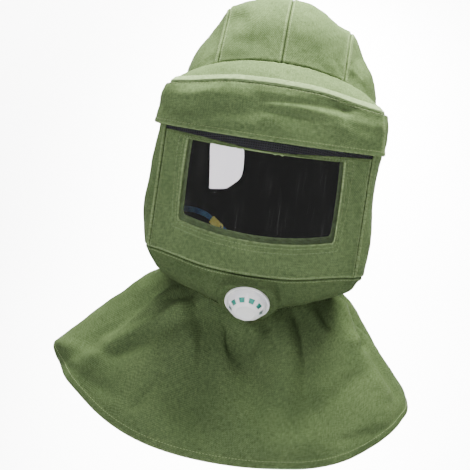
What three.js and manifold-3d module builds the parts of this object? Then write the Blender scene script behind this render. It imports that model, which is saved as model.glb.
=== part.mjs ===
// A sandblasting hood in green canvas: a sewn crown, a boxed face with a curved clear window, a brow flap
// over a black mesh, a chin panel with a round exhalation valve, a black lining, a chin strap and a
// shoulder cape. Millimetres, +Z up, and the wearer faces -Y.
// The origin is the point inside the crown that rests on top of the wearer's head.
import * as THREE from "three";
import { mergeVertices } from "three/addons/utils/BufferGeometryUtils.js";
import Module from "manifold-3d";

const wasm = await Module();
wasm.setup();

// Cloth
const canvas = 1.8; // the green canvas
const liningCloth = 0.8; // the black lining
const layerGap = 1.6; // between the canvas and the lining
const seamGap = 0.6; // between two panels sewn edge to edge
const crownTop = canvas + layerGap + liningCloth; // the outside of the crown above the head

// Hood
const hoodWidth = 212;
const crownFront = 104; // from the head's axis to the front of the crown
const crownBack = 114; // and to its back
const hoodHeight = 306; // from the crown's top down to the neck seam at the sides
const topPanelWidth = 132; // the two top panels together, between the side seams

// Face box
const faceWidth = 212;
const faceReach = 130; // from the head's axis to the middle of the face panel
const cornerSetback = 25; // how far the panel's side seams lie behind its middle
const gussetBulge = 13; // how far the gussets stand out at their fullest
const browRise = 3; // how much the brow panel bows up
const chinBulge = 10;
const cornerTurn = THREE.MathUtils.degToRad(45); // where the face panel meets the gusset
const sideTurn = THREE.MathUtils.degToRad(70); // where the gusset meets the side panel

// Window
const windowWidth = 160; // at its bottom
const windowLean = 1.5; // how much further to the wearer's right its top corners lie
const windowBow = 0.8; // how far its ends bow out
const windowHeight = 80.2; // at its ends
const windowDip = 2; // how much lower its top edge is in the middle
const windowSag = 11.3; // how much lower its bottom edge is in the middle
const windowMargin = 2.2; // canvas above the window, in the middle of the panel
const windowCorner = 1.6; // the radius of its corners
const lens = 1;
const lensOverlap = 11; // the lens behind the canvas, on each side
const facingCloth = 1.4; // the green facing behind the lens
const facingLip = 6; // how far the facing stands above the window's bottom edge
const facingSide = 3; // and inside its ends
const facingWidth = 16; // the facing behind the canvas, on each side
const pocketGap = 0.4; // between the layers that hold the lens

// Brow
const bandWidth = 8;
const bandCloth = 1.6;
const flapDrop = 55; // from the brow seam to the flap's lower edge
const flapCloth = 2.4;
const flapTurn = THREE.MathUtils.degToRad(51); // the flap's ends, just round the corners
const flapRoot = 3.2; // how far the flap stands off the mesh at the seam
const flapStand = 19; // and at its lower edge
const flapPinch = 0.72; // how much less it stands off at its ends, as a share
const meshCloth = 1;

// Piping in the side seams of the face panel
const pipingRadius = 1.5;

// Valve
const valveRadius = 23; // the flange
const valveFlange = 1.6;
const spigotRadius = 12;
const spigotBore = 8.5;
const ringRadius = 16; // the clip ring inside the hood
const ringHeight = 2;
const capHeight = 14.5;
const capWall = 1.3;
const slotCount = 10;
const slotWidth = 5.8;
const slotHeight = 3.6;
const slotRise = 10.9; // from the canvas to the middle of the slots
const valveGap = 0.35;
const padRadius = 29; // the flat of the chin panel under the flange
const padFade = 5;
const valvePlace = 0.43; // share of the way down the chin panel
const valveTilt = THREE.MathUtils.degToRad(42); // how far its axis leans below the level
const valveAside = 0.024; // and its turn from the middle, in radians

// Chin strap
const strapWidth = 6;
const strapCloth = 1.2;
const strapGap = 2.6; // between the strap and the lining
const buckle = { length: 14, height: 9.5, depth: 4.8, slack: 0.9, turn: THREE.MathUtils.degToRad(-31) };

// Cape
const capeWidth = 384; // across the shoulders
const capeFront = 176; // from the head's axis to the front hem
const capeBack = 164;
const capeDrop = 138; // from the front of the neck seam to the front hem
const shoulderRise = 58; // how much higher the hem is at the shoulders
const backRise = 22; // and at the back
const capeShift = 3; // how far the whole hem is drawn to the wearer's right
const capeFold = 15; // the depth of the deepest fold

const canvasGreen = new THREE.MeshStandardMaterial({ color: 0x6b7c4c, roughness: 0.92 });
const bandGreen = new THREE.MeshStandardMaterial({ color: 0x7d8d5c, roughness: 0.9 });
const blackCloth = new THREE.MeshStandardMaterial({ color: 0x18181b, roughness: 0.95 });
const blackMesh = new THREE.MeshStandardMaterial({ color: 0x222227, roughness: 0.85 });
const clearSheet = new THREE.MeshStandardMaterial({
  color: 0xf2f4f6, roughness: 0.05, transparent: true, opacity: 0.25,
});
const whitePlastic = new THREE.MeshStandardMaterial({ color: 0xe4e4ea, roughness: 0.4 });
const tealRubber = new THREE.MeshStandardMaterial({ color: 0x35b8a0, roughness: 0.5 });
const blueWebbing = new THREE.MeshStandardMaterial({ color: 0x2f5f96, roughness: 0.8 });
const yellowPlastic = new THREE.MeshStandardMaterial({ color: 0xd8cc55, roughness: 0.45 });

// The hood's ovals, from the crown's top to the neck seam, as shares of its height, width and depths.
const hoodRows = [
  { down: 0, wide: 0, front: 0, back: 0 },
  { down: 0.006, wide: 0.26, front: 0.3, back: 0.3 },
  { down: 0.045, wide: 0.53, front: 0.55, back: 0.56 },
  { down: 0.09, wide: 0.67, front: 0.7, back: 0.72 },
  { down: 0.16, wide: 0.785, front: 0.83, back: 0.85 },
  { down: 0.23, wide: 0.905, front: 0.93, back: 0.93 },
  { down: 0.31, wide: 0.975, front: 1, back: 0.98 },
  { down: 0.42, wide: 1, front: 1, back: 1 },
  { down: 0.58, wide: 1.03, front: 0.97, back: 0.99 },
  { down: 0.74, wide: 1.05, front: 0.93, back: 0.94 },
  { down: 0.87, wide: 0.99, front: 0.93, back: 0.87 },
  { down: 1, wide: 0.83, front: 0.95, back: 0.78 },
].map((row) => ({ ...row, key: Math.sqrt(row.down) }));

// How far down each seam runs, as a share of the hood's height, by the turn from the front in degrees.
const seamRows = [
  { key: 0, crownEdge: 0.225, browSeam: 0.301, faceTop: 0.5155, faceBottom: 0.931, neck: 1.075 },
  { key: 10, crownEdge: 0.227, browSeam: 0.303, faceTop: 0.514, faceBottom: 0.929, neck: 1.065 },
  { key: 20, crownEdge: 0.232, browSeam: 0.308, faceTop: 0.507, faceBottom: 0.924, neck: 1.045 },
  { key: 45, crownEdge: 0.262, browSeam: 0.34, faceTop: 0.494, faceBottom: 0.895, neck: 1.005 },
  { key: 70, crownEdge: 0.322, browSeam: 0.345, faceTop: 0.494, faceBottom: 0.905, neck: 0.98 },
  { key: 110, crownEdge: 0.33, browSeam: 0.352, faceTop: 0.49, faceBottom: 0.9, neck: 0.975 },
  { key: 180, crownEdge: 0.33, browSeam: 0.352, faceTop: 0.49, faceBottom: 0.9, neck: 0.97 },
];

// How much of their bulge the gussets have, by the share of the hood's height.
const gussetRows = [
  { key: 0.3, left: 0.5, right: 0.65 },
  { key: 0.45, left: 0.95, right: 1 },
  { key: 0.62, left: 1.1, right: 0.7 },
  { key: 0.78, left: 1.25, right: 1.05 },
  { key: 0.92, left: 0.8, right: 1.1 },
];
const seams = ["crownEdge", "browSeam", "faceTop", "faceBottom", "neck"];

// Soft dents of the crown: where they are, how deep as a share of the canvas's slack, and how wide.
const crownSlack = 7;
const dentRows = [
  { turn: 84, down: 0.035, depth: 1.25, wide: 40, tall: 0.04 },
  { turn: -78, down: 0.065, depth: -0.5, wide: 22, tall: 0.03 },
  { turn: -48, down: 0.1, depth: 0.9, wide: 15, tall: 0.045 },
  { turn: -62, down: 0.2, depth: 0.6, wide: 12, tall: 0.06 },
  { turn: 52, down: 0.24, depth: 0.8, wide: 9, tall: 0.05 },
  { turn: 70, down: 0.15, depth: 0.7, wide: 13, tall: 0.07 },
  { turn: 8, down: 0.1, depth: -0.4, wide: 20, tall: 0.07 },
  { turn: 150, down: 0.2, depth: 0.7, wide: 22, tall: 0.08 },
  { turn: -140, down: 0.26, depth: 0.6, wide: 18, tall: 0.07 },
];

// The brow flap's section, from the seam to its lower edge: how far it stands off, as a share.
const flapRows = [
  { key: 0, stand: 0 },
  { key: 0.14, stand: 0.42 },
  { key: 0.32, stand: 0.7 },
  { key: 0.55, stand: 0.6 },
  { key: 0.78, stand: 0.84 },
  { key: 1, stand: 1 },
];

// Soft dents of the flap: where they are, how deep as a share of the flap's stand, and how wide.
const flapDentRows = [
  { turn: 10, drop: 0.5, depth: 0.32, wide: 12, tall: 0.16 },
  { turn: -30, drop: 0.45, depth: -0.18, wide: 9, tall: 0.2 },
  { turn: 34, drop: 0.62, depth: -0.12, wide: 8, tall: 0.2 },
];

// The chin strap, by its turn from the front in degrees: its reach as a share of the hood's oval, and
// how far down it lies as a share of the hood's height. Round the back it is sewn to the lining.
const strapRows = [
  { key: -180, reach: 1, down: 0.9 },
  { key: -130, reach: 1, down: 0.885 },
  { key: -95, reach: 1, down: 0.812 },
  { key: -78, reach: 0.97, down: 0.79 },
  { key: -60, reach: 0.93, down: 0.772 },
  { key: -46, reach: 0.89, down: 0.766 },
  { key: -38, reach: 0.85, down: 0.775 },
  { key: -29, reach: 0.83, down: 0.802 },
  { key: -15, reach: 0.85, down: 0.835 },
  { key: 0, reach: 0.87, down: 0.85 },
  { key: 45, reach: 0.93, down: 0.87 },
  { key: 90, reach: 1, down: 0.885 },
  { key: 180, reach: 1, down: 0.9 },
];

// The cape's section, from the neck seam to the hem.
const capeRows = [
  { key: 0, out: 0, fall: 0 },
  { key: 0.25, out: 0.25, fall: 0.22 },
  { key: 0.5, out: 0.52, fall: 0.46 },
  { key: 0.75, out: 0.79, fall: 0.71 },
  { key: 0.9, out: 0.94, fall: 0.87 },
  { key: 1, out: 1, fall: 1 },
];

// How the cape's hem departs from an even one, by its turn from the front in degrees: how much further
// out it reaches and how much lower it hangs.
const hemRows = [
  { key: -180, out: 0, drop: 0 },
  { key: -110, out: 0, drop: 0 },
  { key: -92, out: 1, drop: 2 },
  { key: -72, out: 3, drop: 5 },
  { key: -50, out: 0, drop: -1 },
  { key: -20, out: 0, drop: 0 },
  { key: 10, out: 0, drop: 2 },
  { key: 45, out: 2, drop: 5 },
  { key: 68, out: 0, drop: 6 },
  { key: 90, out: -4, drop: 5 },
  { key: 120, out: 0, drop: 0 },
  { key: 180, out: 0, drop: 0 },
];

// The cape's folds: their turn from the front at the neck and at the hem in degrees, how wide they are
// in degrees, how high as a share of the deepest fold, and how far down they begin and end.
const foldRows = [
  { neck: -28, hem: -4, wide: 10, high: -1, begin: -0.1, end: 0.95 },
  { neck: 2, hem: 6, wide: 8, high: -0.55, begin: -0.1, end: 0.6 },
  { neck: -12, hem: 18, wide: 9, high: 0.35, begin: 0, end: 1.1 },
  { neck: 24, hem: 30, wide: 8, high: 0.45, begin: 0, end: 0.7 },
  { neck: 38, hem: 26, wide: 7, high: -0.8, begin: -0.1, end: 0.8 },
  { neck: 54, hem: 60, wide: 8, high: 0.55, begin: 0, end: 1.2 },
  { neck: 72, hem: 80, wide: 9, high: 0.35, begin: 0, end: 1.3 },
  { neck: 88, hem: 104, wide: 9, high: -0.95, begin: -0.1, end: 1.3 },
  { neck: 106, hem: 122, wide: 10, high: 0.5, begin: 0, end: 1.2 },
  { neck: 132, hem: 140, wide: 11, high: -0.6, begin: -0.1, end: 1.1 },
  { neck: 158, hem: 156, wide: 10, high: 0.4, begin: 0, end: 1.1 },
  { neck: 178, hem: 176, wide: 11, high: -0.65, begin: -0.1, end: 1.1 },
  { neck: -158, hem: -156, wide: 11, high: 0.45, begin: 0, end: 1.1 },
  { neck: -134, hem: -128, wide: 10, high: -0.6, begin: -0.1, end: 1.1 },
  { neck: -108, hem: -104, wide: 10, high: 0.45, begin: 0, end: 1.2 },
  { neck: -92, hem: -96, wide: 6, high: -0.5, begin: -0.1, end: 1.2 },
  { neck: -76, hem: -82, wide: 8, high: 0.5, begin: 0, end: 1.3 },
  { neck: -60, hem: -66, wide: 6, high: -0.55, begin: -0.1, end: 0.8 },
  { neck: -49, hem: -56, wide: 7, high: 0.55, begin: 0, end: 1 },
];

const lerp = THREE.MathUtils.lerp;
const ease = THREE.MathUtils.smoothstep;
const bell = (x) => Math.exp(-x * x);

// A smooth curve through one column of a table, read at a place along its keys.
function curve(rows, column, place) {
  const last = rows.length - 1;
  const at = Math.min(Math.max(place, rows[0].key), rows[last].key);
  let i = rows.findIndex((row) => row.key >= at) - 1;
  i = Math.min(Math.max(i, 0), last - 1);
  const slope = (k) => {
    const before = rows[Math.max(k - 1, 0)];
    const after = rows[Math.min(k + 1, last)];
    return (after[column] - before[column]) / (after.key - before.key);
  };
  const step = rows[i + 1].key - rows[i].key;
  const t = (at - rows[i].key) / step;
  const bend = t * t * (3 - 2 * t);
  return (
    lerp(rows[i][column], rows[i + 1][column], bend) +
    step * (t * (1 - t) * (1 - t) * slope(i) - t * t * (1 - t) * slope(i + 1))
  );
}

// A point of the hood's oval at a depth below the crown's top. A turn of 0 is the front.
function hoodPoint(turn, down) {
  const key = Math.sqrt(Math.max(down, 0) / hoodHeight);
  const facing = Math.cos(turn) > 0;
  const wide = (curve(hoodRows, "wide", key) * hoodWidth) / 2;
  const deep = curve(hoodRows, facing ? "front" : "back", key) * (facing ? crownFront : crownBack);
  return new THREE.Vector3(wide * Math.sin(turn), -deep * Math.cos(turn), crownTop - down);
}

// How far down the surface's row lies: -1 is the crown's edge, 0 the brow seam, 1 and 2 the face
// panel's edges and 3 the neck seam.
function levelOf(turn, row) {
  const degrees = Math.abs(THREE.MathUtils.radToDeg(turn));
  const place = Math.min(Math.max(row + 1, 0), seams.length - 1);
  const i = Math.min(Math.floor(place), seams.length - 2);
  const level = (k) => curve(seamRows, seams[k], degrees) * hoodHeight;
  return lerp(level(i), level(i + 1), place - i);
}

// The boxed front at a depth below the crown's top: the face panel's arc, then the gusset.
function boxPoint(turn, down) {
  const side = turn < 0 ? -1 : 1;
  const away = Math.abs(turn);
  const corner = new THREE.Vector3((side * faceWidth) / 2, cornerSetback - faceReach, crownTop - down);
  if (away <= cornerTurn) {
    const share = away / cornerTurn;
    return new THREE.Vector3(corner.x * share, cornerSetback * share * share - faceReach, corner.z);
  }
  const share = (away - cornerTurn) / (sideTurn - cornerTurn);
  const point = corner.lerp(hoodPoint(side * sideTurn, down), share);
  const full = curve(gussetRows, side < 0 ? "left" : "right", down / hoodHeight);
  point.x += side * gussetBulge * full * Math.sin(Math.PI * share);
  return point;
}

// The chin panel, from the bottom of the box at 0 to the neck seam at 1.
function chinPoint(turn, share) {
  const upper = boxPoint(turn, levelOf(turn, 2));
  const lower = hoodPoint(turn, levelOf(turn, 3));
  const point = upper.lerp(lower, share);
  const bulge = chinBulge * Math.sin(Math.PI * Math.min(share, 1)) * ease(sideTurn - Math.abs(turn), 0, 0.35);
  point.x += bulge * 0.6 * Math.sin(turn);
  point.y -= bulge * 0.6 * Math.cos(turn);
  point.z -= bulge * 0.8;
  return point;
}

// How far the crown's cloth is dented at a place.
function dentAt(turn, down) {
  const degrees = THREE.MathUtils.radToDeg(turn);
  const dents = dentRows.map(
    (row) => row.depth * bell((degrees - row.turn) / row.wide) * bell((down / hoodHeight - row.down) / row.tall),
  );
  return crownSlack * dents.reduce((sum, dent) => sum + dent, 0);
}

// The hood as if it had no face box. Rows run from the crown's top at -2 to its edge at -1 and evenly
// on to the neck seam at 3.
function oval(turn, row) {
  if (row >= -1) return hoodPoint(turn, lerp(levelOf(turn, -1), levelOf(turn, 3), (row + 1) / 4));
  const down = levelOf(turn, -1) * (row + 2) ** 2;
  const point = hoodPoint(turn, down);
  const dent = dentAt(turn, down) * ease(row, -2, -1.8);
  point.x -= dent * 0.8 * Math.sin(turn);
  point.y += dent * 0.8 * Math.cos(turn);
  point.z -= dent * 0.6 * (1 - ease(row, -1.6, -1.2));
  return point;
}

// The whole outside of the hood.
function outside(turn, row) {
  if (row < -1) return oval(turn, row);
  if (Math.abs(turn) > sideTurn) return hoodPoint(turn, levelOf(turn, row));
  if (row < 0) {
    const edge = hoodPoint(turn, levelOf(turn, -1));
    const point = edge.lerp(boxPoint(turn, levelOf(turn, 0)), row + 1);
    point.z += browRise * Math.sin(Math.PI * (row + 1));
    return point;
  }
  return row < 2 ? boxPoint(turn, levelOf(turn, row)) : chinPoint(turn, row - 2);
}

// The flat of the chin panel that the valve's flange sits on.
const valveSpot = chinPoint(valveAside, valvePlace);
const valveNormal = new THREE.Vector3(0, -Math.cos(valveTilt), -Math.sin(valveTilt));

function outsideWithPad(turn, row) {
  const point = outside(turn, row);
  const rise = point.clone().sub(valveSpot).dot(valveNormal);
  const away = point.clone().addScaledVector(valveNormal, -rise).distanceTo(valveSpot);
  const flat = (1 - ease(away, padRadius, padRadius + padFade)) * ease(row, 2, 2.06) * (1 - ease(row, 2.94, 3));
  return point.addScaledVector(valveNormal, -rise * flat);
}

// The brow flap, from the seam at 0 to its lower edge at 1.
function flapPoint(turn, share) {
  const degrees = THREE.MathUtils.radToDeg(turn);
  const start = levelOf(turn, 0);
  const point = boxPoint(turn, lerp(start, levelOf(0, 0) + flapDrop, share));
  let stand = curve(flapRows, "stand", share);
  for (const row of flapDentRows) {
    stand -= row.depth * bell((degrees - row.turn) / row.wide) * bell((share - row.drop) / row.tall);
  }
  const out = flapRoot + (flapStand - flapRoot) * stand * (1 - flapPinch * (turn / flapTurn) ** 2);
  point.x += out * Math.sin(turn);
  point.y -= out * Math.cos(turn);
  return point;
}

// The chin strap, from its upper edge at 0 to its lower edge at 1.
function strapPoint(turn, share) {
  const degrees = ((THREE.MathUtils.radToDeg(turn) + 540) % 360) - 180;
  const down = curve(strapRows, "down", degrees) * hoodHeight + (share - 0.5) * strapWidth;
  const reach = Math.min(curve(strapRows, "reach", degrees), 1);
  const point = hoodPoint(turn, down);
  return point.set(point.x * reach, point.y * reach, point.z);
}

// The cape, from the neck seam at 0 to the hem at 1.
function capePoint(turn, share) {
  const degrees = THREE.MathUtils.radToDeg(turn);
  const neck = hoodPoint(turn, levelOf(turn, 3));
  const facing = Math.cos(turn) > 0;
  const rise = shoulderRise * Math.abs(Math.sin(turn)) ** 3 + backRise * (facing ? 0 : Math.cos(turn) ** 2);
  const around = ((degrees + 540) % 360) - 180;
  const hemDown = capeDrop + curve(seamRows, "neck", 0) * hoodHeight - rise + curve(hemRows, "drop", around);
  const more = curve(hemRows, "out", around);
  const hemDeep = (facing ? capeFront : capeBack) + more;
  const hem = new THREE.Vector3(
    (capeWidth / 2 + more) * Math.sin(turn) - capeShift, -hemDeep * Math.cos(turn), crownTop - hemDown,
  );
  const out = curve(capeRows, "out", share);
  const fall = curve(capeRows, "fall", share);
  const point = new THREE.Vector3(
    lerp(neck.x, hem.x, out), lerp(neck.y, hem.y, out), lerp(neck.z, hem.z, fall),
  );
  let fold = 0;
  for (const row of foldRows) {
    const middle = lerp(row.neck, row.hem, share);
    const aside = ((degrees - middle + 540) % 360) - 180;
    const grown = ease(share, row.begin, row.begin + 0.3) * (1 - ease(share, row.end - 0.25, row.end + 0.1));
    fold += row.high * bell(aside / row.wide) * grown;
  }
  const lift = capeFold * fold * ease(share, 0, 0.12);
  point.x += lift * 0.7 * Math.sin(turn);
  point.y -= lift * 0.7 * Math.cos(turn);
  point.z += lift * 0.6;
  return point;
}

// The valve cap's outside, from its foot on the flange to its flat face.
const capRows = [
  { radius: 19.5, height: 2.3 },
  { radius: 18.7, height: 5.4 },
  { radius: 17.4, height: 8.4 },
  { radius: 14.9, height: 11.4 },
  { radius: 12, height: 13.7 },
  { radius: 10, height: capHeight },
];

const headMiddle = new THREE.Vector3(0, 0, -hoodHeight / 2);

function solidOf(geometry) {
  const bare = geometry.index ? geometry.toNonIndexed() : geometry.clone();
  bare.deleteAttribute("normal");
  bare.deleteAttribute("uv");
  const merged = mergeVertices(bare, 1e-4);
  const index = merged.index.array;
  const faces = [];
  for (let i = 0; i < index.length; i += 3) {
    const [a, b, c] = [index[i], index[i + 1], index[i + 2]];
    if (a !== b && b !== c && c !== a) faces.push(a, b, c);
  }
  const made = (triVerts) =>
    new wasm.Manifold(
      new wasm.Mesh({ numProp: 3, vertProperties: merged.attributes.position.array, triVerts }),
    );
  const solid = made(new Uint32Array(faces));
  if (solid.volume() > 0) return solid;
  return made(new Uint32Array(faces.reverse()));
}

function geometryOf(solid) {
  const mesh = solid.getMesh();
  const geometry = new THREE.BufferGeometry();
  geometry.setAttribute("position", new THREE.BufferAttribute(new Float32Array(mesh.vertProperties), 3));
  geometry.setIndex(new THREE.BufferAttribute(new Uint32Array(mesh.triVerts), 1));
  geometry.computeVertexNormals();
  return geometry;
}

// A sheet of cloth as a solid. Across and down are [start, end, steps]. The sheet lies between inset and
// inset + thick behind the surface, on the side away from the point from. Trim is what is left off its
// first and last row, for the seams, and spread sets how the rows are spaced.
function sheet({
  point, across, down, thick, from = headMiddle, inset = 0, trim = [0, 0], wrap = false, spread = (share) => share,
}) {
  const turnStep = 0.016;
  const layers = [[], []];
  for (let i = 0; i <= across[2]; i++) {
    const turn = lerp(across[0], across[1], i / across[2]);
    const long = point(turn, down[0]).distanceTo(point(turn, down[1])) / (down[1] - down[0]);
    const first = down[0] + trim[0] / long;
    const last = down[1] - trim[1] / long;
    const step = 1.5 / long;
    for (let j = 0; j <= down[2]; j++) {
      const row = lerp(first, last, spread(j / down[2]));
      const place = point(turn, row);
      const along = point(turn + turnStep, row).sub(point(turn - turnStep, row));
      const fall = point(turn, row + step).sub(point(turn, row - step));
      const normal = along.cross(fall);
      if (normal.lengthSq() < 1e-9) normal.set(0, 0, 1);
      normal.normalize();
      if (normal.dot(place.clone().sub(from)) < 0) normal.negate();
      layers[0].push(place.clone().addScaledVector(normal, -inset));
      layers[1].push(place.clone().addScaledVector(normal, -inset - thick));
    }
  }
  const at = (layer, i, j) => layers[layer][(wrap ? i % across[2] : i) * (down[2] + 1) + j];
  const corners = [];
  const quad = (a, b, c, d) => corners.push(a, b, c, a, c, d);
  for (let i = 0; i < across[2]; i++) {
    for (let j = 0; j < down[2]; j++) {
      quad(at(0, i, j), at(0, i, j + 1), at(0, i + 1, j + 1), at(0, i + 1, j));
      quad(at(1, i, j), at(1, i + 1, j), at(1, i + 1, j + 1), at(1, i, j + 1));
    }
    quad(at(0, i, 0), at(0, i + 1, 0), at(1, i + 1, 0), at(1, i, 0));
    quad(at(0, i, down[2]), at(1, i, down[2]), at(1, i + 1, down[2]), at(0, i + 1, down[2]));
  }
  for (let j = 0; j < down[2] && !wrap; j++) {
    quad(at(0, 0, j), at(1, 0, j), at(1, 0, j + 1), at(0, 0, j + 1));
    quad(at(0, across[2], j), at(0, across[2], j + 1), at(1, across[2], j + 1), at(1, across[2], j));
  }
  return solidOf(new THREE.BufferGeometry().setFromPoints(corners));
}

function block(width, depth, height, x, y, z) {
  return solidOf(new THREE.BoxGeometry(width, depth, height).translate(x, y, z));
}

// A rod along a row of points.
function rod(points, radius, steps) {
  const extrudePath = new THREE.CatmullRomCurve3(points);
  const round = new THREE.Shape().absarc(0, 0, radius, 0, Math.PI * 2);
  const settings = { extrudePath, steps, curveSegments: 4, bevelEnabled: false };
  return solidOf(new THREE.ExtrudeGeometry(round, settings));
}

const hood = new THREE.Group();

function add(name, solid, material) {
  const mesh = new THREE.Mesh(geometryOf(solid), material);
  mesh.name = name;
  hood.add(mesh);
}

const pair = (name, side) => `${name}_${side < 0 ? "left" : "right"}`;
const halfGap = seamGap / 2;
const gapTurn = halfGap / (hoodWidth / 2);
const far = hoodHeight * 2;

// A dome cut along its seams into two top panels and two side panels.
function addCrown() {
  const dome = sheet({
    point: oval, across: [-Math.PI, Math.PI, 36], down: [-2, -1, 7], thick: canvas, trim: [0, halfGap], wrap: true,
  });
  const seam = topPanelWidth / 2;
  const strip = (start, end) => block(end - start - seamGap, far, far, (start + end) / 2, 0, 0);
  add("crown_panel_left", dome.intersect(strip(-seam, 0)), canvasGreen);
  add("crown_panel_right", dome.intersect(strip(0, seam)), canvasGreen);
  add("crown_side_left", dome.intersect(strip(-far, -seam)), canvasGreen);
  add("crown_side_right", dome.intersect(strip(seam, far)), canvasGreen);
}

// The hood's sides, from the gussets round to the seam down the back.
function addSides() {
  for (const side of [-1, 1]) {
    const panel = sheet({
      point: oval, across: [side * (sideTurn + gapTurn), side * (Math.PI - gapTurn), 10], down: [-1, 3, 8],
      thick: canvas, trim: [halfGap, halfGap],
    });
    add(pair("hood_side", side), panel, canvasGreen);
  }
}

function addFrontPanels() {
  const middle = cornerTurn - gapTurn;
  const end = sideTurn - gapTurn;
  const trim = [halfGap, halfGap];
  const front = (half, steps, down, thick, inset = 0) =>
    sheet({ point: outsideWithPad, across: [-half, half, steps], down, thick, trim, inset });
  add("brow_panel", front(end, 28, [-1, 0, 2], canvas), canvasGreen);
  add("brow_mesh", front(middle, 14, [0, 1, 3], meshCloth), blackMesh);
  for (const side of [-1, 1]) {
    const across = [side * (cornerTurn + gapTurn), side * end, 4];
    const gusset = sheet({ point: outside, across, down: [0, 2, 8], thick: canvas, trim: [canvas / 2, halfGap] });
    add(pair("gusset", side), gusset, canvasGreen);
    const seam = [0.24, 0.5, 0.75, 1, 1.3, 1.6, 1.94].map((row) => {
      const point = outside(side * cornerTurn, row);
      return point.add(new THREE.Vector3(side, -1, 0).setLength(pipingRadius + halfGap));
    });
    add(pair("piping", side), rod(seam, pipingRadius, 10), canvasGreen);
  }
  const bandRow = -bandWidth / outside(0, -1).distanceTo(outside(0, 0));
  const band = sheet({
    point: outside, across: [-flapTurn, flapTurn, 34], down: [bandRow, 0, 1],
    thick: bandCloth, trim: [0, halfGap], inset: -bandCloth - halfGap,
  });
  add("brow_band", band, bandGreen);
  const flap = sheet({
    point: flapPoint, across: [-flapTurn, flapTurn, 34], down: [0, 1, 5], thick: flapCloth, trim: [halfGap, 0],
  });
  add("brow_flap", flap, canvasGreen);
}

// The window's outline as a prism through the panel, grown or shrunk at its ends, top and bottom.
const windowTop = crownTop - levelOf(0, 1) - windowMargin;
function windowPrism(ends, top, bottom) {
  const x = windowWidth / 2 + ends;
  const high = windowTop + windowDip + top;
  const low = windowTop + windowDip - windowHeight - bottom;
  const r = windowCorner;
  const [left, right] = [-x - windowLean, x - windowLean];
  const middle = (high + low) / 2;
  const shape = new THREE.Shape();
  shape.moveTo(left + r, high);
  shape.quadraticCurveTo((left + right) / 2, high - windowDip * 2, right - r, high);
  shape.quadraticCurveTo(right, high, right, high - r);
  shape.quadraticCurveTo((right + x) / 2 + windowBow * 2, middle, x, low + r);
  shape.quadraticCurveTo(x, low, x - r, low - windowSag * 0.2);
  shape.quadraticCurveTo(0, low - windowSag * 1.8, -x + r, low - windowSag * 0.2);
  shape.quadraticCurveTo(-x, low, -x, low + r);
  shape.quadraticCurveTo((left - x) / 2 - windowBow * 2, middle, left, high - r);
  shape.quadraticCurveTo(left, high, left + r, high);
  const settings = { depth: faceReach * 1.2, bevelEnabled: false, curveSegments: 8 };
  return solidOf(new THREE.ExtrudeGeometry(shape, settings).rotateX(Math.PI / 2));
}

function addWindow() {
  const middle = cornerTurn - gapTurn;
  const panel = sheet({
    point: outside, across: [-middle, middle, 16], down: [1, 2, 6], thick: canvas, trim: [halfGap, halfGap],
  });
  add("face_panel", panel.subtract(windowPrism(0, 0, 0)), canvasGreen);
  const behind = (reach, inset, thick, steps) => {
    const half = ((windowWidth / 2 + reach) / (faceWidth / 2)) * cornerTurn;
    const foot = crownTop - windowTop + windowHeight + windowSag + reach;
    const point = (turn, share) => boxPoint(turn, lerp(levelOf(turn, 1) + seamGap, foot, share));
    return sheet({ point, across: [-half, half, 16], down: [0, 1, steps], thick, inset });
  };
  add("window_lens", behind(lensOverlap, canvas + pocketGap, lens, 2), clearSheet);
  const facing = behind(facingWidth, canvas + 2 * pocketGap + lens, facingCloth, 4);
  add("window_facing", facing.subtract(windowPrism(-facingSide, 0, -facingLip)), canvasGreen);
}

// Lathe profiles are rows of [radius, height] from the flat of the chin panel, outwards along the valve's axis.
const valveTurn = new THREE.Quaternion().setFromUnitVectors(new THREE.Vector3(0, 1, 0), valveNormal);
const onChin = (geometry) => geometry.applyQuaternion(valveTurn).translate(valveSpot.x, valveSpot.y, valveSpot.z);
function turned(profile, sides = 20) {
  const points = [...profile, profile[0]].map(([radius, height]) => new THREE.Vector2(radius, height));
  return solidOf(onChin(new THREE.LatheGeometry(points, sides)));
}

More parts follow.
